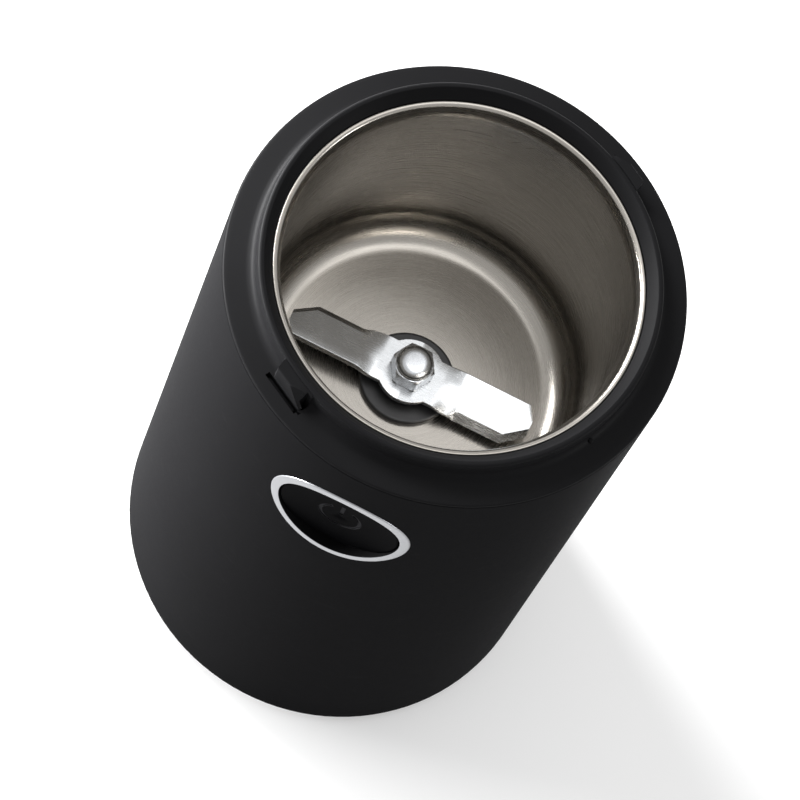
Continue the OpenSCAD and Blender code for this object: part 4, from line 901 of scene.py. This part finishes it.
def rampMesh(turn):
    # a corner block that cuts the ramp side of a lug off along a plane
    c = collar
    spare = c["rampSpare"]
    share = 1 + sum(spare / reach for reach in c["ramp"])
    along, inwards, down = [reach * share for reach in c["ramp"]]
    corner = Vector((c["lugFoot"] + spare, -c["lugFace"] - spare, c["lugTop"] + spare))
    reaches = [(0, 0, 0), (-along, 0, 0), (0, inwards, 0), (0, 0, -down)]
    points = [corner + Vector(reach) for reach in reaches]
    work = bmesh.new()
    made = [work.verts.new(p * mm) for p in points]
    for sides in ((0, 1, 2), (0, 2, 3), (0, 3, 1), (1, 3, 2)):
        work.faces.new([made[i] for i in sides])
    bmesh.ops.recalc_face_normals(work, faces=work.faces)
    work.transform(Matrix.Rotation(turn, 4, "Z"))
    return meshFrom(work, "ramp")


collarNub = {
    "turn": 63.8,
    "at": 40.65,
    "radius": 0.5,
    "foot": 153.3,
    "top": 154.9,
}


def nubMesh():
    n = collarNub
    edge = n["radius"] / 2
    profile = [(0.02, n["foot"]), (0.02, n["top"])]
    profile += arcPoints((n["radius"] - edge, n["top"] - edge), edge, 90, 0, 6)
    nub = turned("nub", profile + [(n["radius"], n["foot"])], "collar", 32)
    nub.transform(Matrix.Rotation(math.radians(n["turn"]), 4, "Z")
                  @ Matrix.Translation((0.0, -n["at"] * mm, 0.0)))
    return nub


collarBoss = {
    "bore": 1.3,
    "radius": 2.85,
    "chamfer": (0.15, 0.2),
    "foot": 147.9,
    "top": 151.3,
    "circle": 40.75,
    "count": 4,
    "firstTurn": -75.0,
}


def bossMeshes():
    # the posts under the collar that take its screws
    b = collarBoss
    inwards, upwards = b["chamfer"]
    profile = [(b["bore"], b["foot"]), (b["bore"], b["top"]), (b["radius"], b["top"]),
               (b["radius"], b["foot"] + upwards), (b["radius"] - inwards, b["foot"])]
    post = turned("boss", profile, "collar", 48)
    return spread("bosses", post, "collar", b["count"], b["circle"], b["firstTurn"])


def makeCollar():
    c = collar
    outline = lugOutline()
    first, last = [math.atan2(along, out) for along, out in (outline[0], outline[-1])]
    lugs = [math.radians(turn) for turn in c["lugTurns"]]
    stops = {}
    for centre in lugs:
        for along, out in outline:
            turn = round(centre + math.atan2(along, out), 9)
            stops[turn] = max(c["neck"], math.hypot(along, out)), centre
    for i in range(c["columns"]):
        turn = math.radians(-180 + i * 360 / c["columns"] + c["columnShift"])
        away = [(turn - centre + math.pi) % math.tau - math.pi for centre in lugs]
        if all(a < first - c["columnGap"] or a > last + c["columnGap"] for a in away):
            stops[turn] = c["neck"], lugs[0]
    ring = ringMesh("collar", [collarColumn(turn, *stops[turn]) for turn in sorted(stops)], closed=True)
    hollows = [boxMesh(*c[hollow], lugs[0]) for hollow in ("slot", "window", "plungerRoom")]
    ring = cutAway(ring, [rampMesh(turn) for turn in lugs] + hollows)
    mesh = joinMeshes("collar", [ring, nubMesh(), bossMeshes()])
    addPiece("lidCollar", mesh, "collar", "housing", ["collar_ring"], 28.0)


makeCollar()
print("collar made")


buttonRing = {
    "centre": 125.4,
    "bodyRadius": 46.0,
    "outer": 15.0,
    "inner": 13.0,
    "proud": 0.2,
    "seat": -0.8,
    "edges": (0.25, 0.2),
    "face": (1.3, 0.8),
    "sleeveRadius": 14.5,
    "sleeveFoot": 41.13,
    "columns": 256,
}


def makeButtonRing():
    b = buttonRing
    top = b["proud"]
    outerEdge, innerEdge = b["edges"]
    skin = [(b["outer"], b["seat"])]
    skin += arcPoints((b["outer"] - outerEdge, top - outerEdge), outerEdge, 0, 90, 6)
    skin += [(b["inner"] + onward, top) for onward in b["face"]]
    skin += arcPoints((b["inner"] + innerEdge, top - innerEdge), innerEdge, 90, 180, 6)
    skin += [(b["inner"], b["seat"]), (b["inner"], 2 * b["seat"])]
    foot = [(b["inner"], b["sleeveFoot"]), (b["sleeveRadius"], b["sleeveFoot"])]
    under = [(b["sleeveRadius"], b["seat"])]

    def onBody(radius, height, turn):
        x = radius * math.cos(turn)
        y = -math.sqrt((b["bodyRadius"] + height) ** 2 - x * x)
        return x, y, b["centre"] + radius * math.sin(turn)

    columns = []
    for i in range(b["columns"]):
        turn = math.tau * i / b["columns"]
        column = [onBody(radius, height, turn) for radius, height in skin]
        column += [(radius * math.cos(turn), -depth, b["centre"] + radius * math.sin(turn))
                   for radius, depth in foot]
        columns.append(column + [onBody(radius, height, turn) for radius, height in under])
    mesh = ringMesh("buttonRing", columns, closed=True)
    addPiece("buttonRing", mesh, "bezel", "housing", ["button_bezel"], 35.0)


makeButtonRing()
print("button ring made")


blade = {
    "under": 101.4,
    "thick": 1.4,
    "reach": 27.0,
    "width": 10.0,
    "hub": 7.0,
    "pitch": 14.0,
    "twist": (6.6, 11.0),
    "sharpFrom": (10.2, 12.4),
    "leadCut": (22.5, 3.5),
    "trailCut": (25.2, 3.0),
    "ground": 1.92,
    "land": 0.2,
    "round": 0.22,
    "tip": (1.0, 0.93, 0.8),
    "bore": 2.55,
    "flat": 2.05,
    "boreSpan": (-1.4, 2.6),
    "stops": (0.02, 0.8, 1.6, 2.6, 3.6, 4.4, 4.9, 5.6, 6.2, 6.6, 6.8, 6.95, 7.0, 7.4, 8.0, 8.8, 9.6,
              10.2, 10.8, 11.4, 12.0, 12.6, 14.0, 16.0, 18.0, 20.0, 21.4, 22.5, 22.8, 23.5, 24.4,
              25.2, 25.5, 26.2, 26.7, 26.92, 27.0),
}


def smooth(low, high, value):
    t = min(1.0, max(0.0, (value - low) / (high - low)))
    return t * t * (3 - 2 * t)


def bladeSection(x):
    # closed section of one wing at a distance from the shaft, leading side at negative Y
    b = blade
    half = b["width"] / 2
    lead, trail = [max(0.0, x - start) / (b["reach"] - start) * depth
                   for start, depth in (b["leadCut"], b["trailCut"])]
    lead, trail = lead - half, half - trail
    if x < b["hub"]:
        bulge = math.sqrt(b["hub"] ** 2 - x * x)
        lead, trail = min(lead, -bulge), max(trail, bulge)
    sharp = smooth(*b["sharpFrom"], x)
    top, r = b["thick"], b["round"]
    landAt = top - r + (b["land"] - top + r) * sharp
    crownAt = lead + r + (b["ground"] - r) * sharp
    points = [(lead, landAt * 0.5), (lead, landAt)]
    for t in (0.35, 0.7):
        bulge = (1 - sharp) * 0.5 * math.sin(math.pi * t)
        points.append((lead + (crownAt - lead) * t, min(top, landAt + (top - landAt) * (t + bulge))))
    points += [(crownAt, top)]
    points += [(crownAt + (trail - r - crownAt) * t, top) for t in (0.25, 0.5, 0.75)]
    points += arcPoints((trail - r, top - r), r, 90, 0, 4) + arcPoints((trail - r, r), r, 0, -90, 4)
    points += [(trail - r + (lead + r - trail + r) * t, 0.0) for t in (0.25, 0.5, 0.75)]
    points += [(lead + r, 0.0), (lead + r * 0.3, landAt * 0.12)]
    turn = math.radians(b["pitch"]) * smooth(*b["twist"], x)
    middle = top / 2
    return [(x, y * math.cos(turn) - (z - middle) * math.sin(turn),
             b["under"] + middle + y * math.sin(turn) + (z - middle) * math.cos(turn)) for y, z in points]


def makeBlade():
    b = blade
    sections = [bladeSection(x) for x in b["stops"]]
    end = [Vector(point) for point in sections[-1]]
    middle = sum(end, Vector()) / len(end)
    sections[-1] = [tuple(middle + (point - middle) * Vector(b["tip"])) for point in end]
    wing = ringMesh("wing", sections)
    other = wing.copy()
    other.transform(Matrix.Rotation(math.pi, 4, "Z"))
    work = bmesh.new()
    for mesh in (wing, other):
        work.from_mesh(mesh)
    inner = [face for face in work.faces if all(abs(v.co.x) < 0.03 * mm for v in face.verts)]
    bmesh.ops.delete(work, geom=inner, context="FACES")
    bmesh.ops.bridge_loops(work, edges=[edge for edge in work.edges if edge.is_boundary])
    whole = meshFrom(work, "blade")
    outwards(whole)
    bore = [[(x, min(b["flat"], y), z) for x, y, z in roundRing(b["bore"], b["under"] + reach, 64)]
            for reach in b["boreSpan"]]
    whole = cutAway(whole, [ringMesh("bore", bore)])
    addPiece("grindingBlade", whole, "blade_steel", "rotor", ["blade"], 22.0)


capNut = {
    "foot": 102.8,
    "corner": 4.6,
    "hexTop": 107.3,
    "top": 108.9,
    "waist": 3.956,
    "domeRadius": 2.4,
    "domeHeight": 1.53,
    "domeInset": 0.1,
    "domeFoot": 0.05,
    "domeSteps": 10,
    "crown": ((1.0, -0.01), (0.4, 0.0)),
    "bore": 2.55,
    "boreTop": 107.6,
    "mouth": 0.25,
    "footChamfer": ((-0.1, 0.0), (0.25, 0.15)),
    "side": (0.5, 2.2, 4.08),
    "topChamfer": ((0.36, -0.2), (0.12, -0.04), (-0.06, 0.0)),
    "columns": 96,
}


def makeCapNut():
    n = capNut
    bore, mouth, foot, waist, hexTop = n["bore"], n["mouth"], n["foot"], n["waist"], n["hexTop"]
    rows = [(bore, n["boreTop"]), (bore, foot + mouth), (bore + mouth, foot)]
    rows += [(waist + out, foot + up) for out, up in n["footChamfer"]]
    # past the corners, where the flats decide
    rows += [(n["corner"] + 0.1, foot + up) for up in n["side"]]
    rows += [(waist + out, hexTop + up) for out, up in n["topChamfer"]]
    domeEdge, domeFoot = waist - n["domeInset"], hexTop + n["domeFoot"]
    for i in range(1, n["domeSteps"] + 1):
        a = math.pi / 2 * i / n["domeSteps"]
        inwards = (n["domeRadius"] - n["domeInset"]) * (1 - math.cos(a))
        rows.append((domeEdge - inwards, domeFoot + n["domeHeight"] * math.sin(a)))
    rows += [(radius, n["top"] + up) for radius, up in n["crown"]]
    rings = []
    for limit, z in rows:
        ring = []
        for i in range(n["columns"]):
            turn = math.tau * i / n["columns"]
            toFlat = (turn % (math.pi / 3)) - math.pi / 6
            radius = min(limit, n["corner"] * math.cos(math.pi / 6) / math.cos(toFlat))
            ring.append((radius * math.cos(turn), radius * math.sin(turn), z))
        rings.append(ring)
    mesh = ringMesh("capNut", rings)
    addPiece("bladeNut", mesh, "nut", "rotor", ["blade_nut"], 24.0)


makeBlade()
makeCapNut()
print("blade and nut made")


baseScrew = {
    "headFace": 2.9,
    "headRadius": 2.8,
    "headHeight": 2.0,
    "headSide": 1.15,
    "headEdge": 0.2,
    "threadRadius": 1.5,
    "threadDepth": 0.28,
    "threadTurns": 14,
    "threadSteps": (0.2, 0.45),
    "plainEnds": (0.5, 0.7),
    "point": ((0.2, 0.5), (0.5, 0.0)),
    "length": 12.0,
    "circle": 34.2,
    "count": 4,
    "firstTurn": 45.0,
    "crown": 0.62,
    "recess": 1.35,
    "recessRise": 0.3,
    "arm": 0.42,
    "armSide": 0.16,
    "armEnd": (1.5, 1.3),
    "columns": 64,
    "headSteps": (0.05, 0.2, 0.36, 0.5, 0.62, 0.78, 0.95, 1.12, 1.26, 1.4, 1.55, 1.75, 2.0, 2.25,
                  2.45, 2.6, 2.7),
}


def screwMesh():
    # pan head with a cross recess, head face down, and a thread of shallow rings
    s = baseScrew
    rings = []
    for radius in s["headSteps"]:
        ring = []
        for x, y, z in roundRing(radius, s["headFace"], s["columns"]):
            inside = smooth(s["arm"] + s["armSide"], s["arm"], min(abs(x), abs(y)))
            inside *= smooth(*s["armEnd"], radius)
            crown = s["crown"] * (radius / s["headRadius"]) ** 4
            ring.append((x, y, z + crown + s["recess"] * inside * (1 - radius * s["recessRise"])))
        rings.append(ring)
    under, head, thread = s["headFace"] + s["headHeight"], s["headRadius"], s["threadRadius"]
    profile = [(head, under - s["headSide"]), (head, under - s["headEdge"]),
               (head - s["headEdge"], under), (thread, under)]
    pitch = (s["length"] - sum(s["plainEnds"])) / s["threadTurns"]
    crest, valley = s["threadSteps"]
    for i in range(s["threadTurns"]):
        low = under + s["plainEnds"][0] + i * pitch
        profile += [(thread, low), (thread, low + crest), (thread - s["threadDepth"], low + valley)]
    end = under + s["length"]
    profile += [(thread - inwards, end - before) for inwards, before in s["point"]]
    rings += [roundRing(radius, height, s["columns"]) for radius, height in profile]
    return ringMesh("screw", rings)


def makeBaseScrews():
    s = baseScrew
    mesh = spread("baseScrews", screwMesh(), "zinc", s["count"], s["circle"], s["firstTurn"])
    addPiece("baseScrews", mesh, "zinc", "housing", ["base_screws"], 28.0)


foot = {
    "radius": 5.0,
    "height": 2.5,
    "stem": 1.5,
    "stemTop": 4.2,
    "barb": 0.7,
    "circle": 31.0,
    "count": 4,
    "middle": 0.3,
    "edge": 0.6,
    "grooves": (1.6, 2.5, 3.4),
    "groove": (0.25, 0.12, 0.22),
}


def makeFeet():
    f = foot
    profile, edge = [(f["middle"], 0.0)], f["edge"]
    wide, narrow, deep = f["groove"]
    for at in f["grooves"]:
        profile += [(at - wide, 0.0), (at - narrow, deep), (at + narrow, deep), (at + wide, 0.0)]
    profile += arcPoints((f["radius"] - edge, edge), edge, -90, 0, 6)
    stem, barbFoot, barbTop = f["stem"], f["stemTop"], f["stemTop"] + f["barb"]
    profile += [(f["radius"], f["height"]), (stem, f["height"]), (stem, barbFoot)]
    profile += [(stem + f["barb"], barbFoot), (stem, barbTop), (f["middle"], barbTop)]
    feet = spread("feet", turned("foot", profile, "rubber", 64), "rubber", f["count"], f["circle"], 0.0)
    addPiece("rubberFeet", feet, "rubber", "housing", ["rubber_feet"])


gland = {
    "height": 15.5,
    "flange": 7.0,
    "neck": 5.4,
    "bore": 3.1,
    "outside": 47.2,
    "wall": 45.0,
    "clip": 6.8,
    "inside": 42.9,
    "innerEnd": 40.9,
    "edges": (0.7, 0.8, 0.3),
}


def makeGland():
    g = gland
    mouth, rim, clipEdge = g["edges"]
    lip = [(g["bore"], g["innerEnd"])]
    lip += arcPoints((g["bore"] + mouth, g["outside"] - mouth), mouth, 180, 90, 6)
    lip += arcPoints((g["flange"] - rim, g["outside"] - rim), rim, 90, 0, 6)
    lip += [(g["flange"], g["wall"]), (g["neck"], g["wall"]), (g["neck"], g["inside"])]
    lip += [(g["clip"], g["inside"]), (g["clip"], g["innerEnd"] + clipEdge)]
    lip += [(g["clip"] - clipEdge, g["innerEnd"])]
    sleeve = turned("gland", lip, "gland", 96)
    sleeve.transform(Matrix.Translation((0.0, 0.0, g["height"] * mm)) @ Matrix.Rotation(-math.pi / 2, 4, "X"))
    addPiece("cordGland", sleeve, "gland", "housing", ["cord_gland"])


makeBaseScrews()
makeFeet()
makeGland()
print("base made")


latchSpring = {
    "wire": 0.3,
    "turns": 5,
    "turnGap": 0.05,
    "points": 32,
    "sides": 16,
    "travel": 2.0,
}


def makeLatchSpring():
    # a coil with one closed turn at each end
    s = latchSpring
    low, high = [Vector(corner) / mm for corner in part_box("interlock_spring")]
    middle = (low + high) / 2
    free = high.z - low.z
    radius = (high.x - low.x) / 2 - s["wire"]
    closed = 2 * s["wire"] + s["turnGap"]
    pitch = (free - 2 * s["wire"] - 2 * closed) / (s["turns"] - 2)
    line = bpy.data.curves.new("latchSpring", "CURVE")
    line.dimensions = "3D"
    spline = line.splines.new("POLY")
    spline.points.add(s["turns"] * s["points"])
    for i, point in enumerate(spline.points):
        turn = i / s["points"]
        openTurns = min(max(turn - 1, 0), s["turns"] - 2)
        rise = s["wire"] + openTurns * pitch + (turn - openTurns) * closed
        angle = math.tau * turn
        place = middle.x + radius * math.cos(angle), middle.y + radius * math.sin(angle), low.z + rise
        point.co = (*(Vector(place) * mm), 1.0)
    mesh = runTree("latchSpring", line, wireTree, {
        "Wire Radius": s["wire"] * mm, "Sides": s["sides"], "Finish": finishes["spring_steel"]})
    outwards(mesh)
    piece = addPiece("latchSpring", mesh, "spring_steel", "housing",
                     ["interlock_spring"])
    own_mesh(piece)


makeLatchSpring()
print("latch spring made")


studio = {
    "floorColour": "#e0e0e0",
    "backdrop": 0.3,
    "floorHalf": 4.0,
    "fill": 0.5,
    "aim": (0.0, 0.0, 0.09),
    "lamps": {
        "keyLamp": ((-0.85, 0.4, 0.95), (0.45, 0.45), 24.0),
        "topLamp": ((0.25, 0.2, 1.9), (1.0, 1.0), 7.0),
        "leftLamp": ((-1.36, 0.22, 0.14), (1.3, 0.22), 150.0),
        "rightLamp": ((1.3, -0.1, 0.35), (0.4, 0.4), 5.0),
    },
}


def makeFloor():
    f = Finish("paleFloor")
    cloud = f.noise(3.0, 3.0)
    fine = f.noise(600.0, 2.0)
    shade = f.tones(cloud, studio["floorColour"], 0.985, 1.0)
    seen = f.node("ShaderNodeLightPath", output="Is Camera Ray")
    for ray in ("Is Glossy Ray", "Is Transmission Ray"):
        seen = f.math("MAXIMUM", seen, f.node("ShaderNodeLightPath", output=ray))
    paper = f.done(shade, f.clamp(0.85 + (fine - 0.5) * 0.1), Specular_IOR_Level=0.1,
                   Emission_Color=seen * studio["backdrop"], Emission_Strength=1.0)
    work = bmesh.new()
    bmesh.ops.create_grid(work, x_segments=8, y_segments=8, size=studio["floorHalf"])
    mesh = meshFrom(work, "floor")
    mesh.materials.append(paper)
    floor = show(bpy.data.objects.new("floor", mesh))


def makeLamp(name, place, size, power):
    data = bpy.data.lights.new(name, "AREA")
    data.shape = "RECTANGLE"
    data.size, data.size_y = size
    data.energy = power
    lamp = show(bpy.data.objects.new(name, data))
    lamp.location = place
    aim = Vector(studio["aim"]) - Vector(place)
    lamp.rotation_euler = aim.to_track_quat("-Z", "Y").to_euler()


def makeWorld():
    world = bpy.data.worlds.new("studioWorld")
    world.use_nodes = True
    tree = world.node_tree
    tree.nodes.clear()
    path = addNode(tree, "ShaderNodeLightPath").outputs
    seen = addNode(tree, "ShaderNodeMath", {"operation": "MAXIMUM"},
                   {0: path["Is Camera Ray"], 1: path["Is Glossy Ray"]})
    white = addNode(tree, "ShaderNodeMath", {"operation": "MAXIMUM"},
                    {0: seen.outputs[0], 1: path["Is Transmission Ray"]})
    level = addNode(tree, "ShaderNodeMath", {"operation": "MULTIPLY_ADD"},
                    {0: white.outputs[0], 1: 1.0 - studio["fill"], 2: studio["fill"]})
    sky = addNode(tree, "ShaderNodeBackground", {},
                  {"Color": (1.0, 1.0, 1.0, 1.0), "Strength": level.outputs[0]})
    addNode(tree, "ShaderNodeOutputWorld", {}, {"Surface": sky.outputs[0]})
    bpy.context.scene.world = world


makeFloor()
for lampName, lampValues in studio["lamps"].items():
    makeLamp(lampName, *lampValues)
makeWorld()
print("studio made")
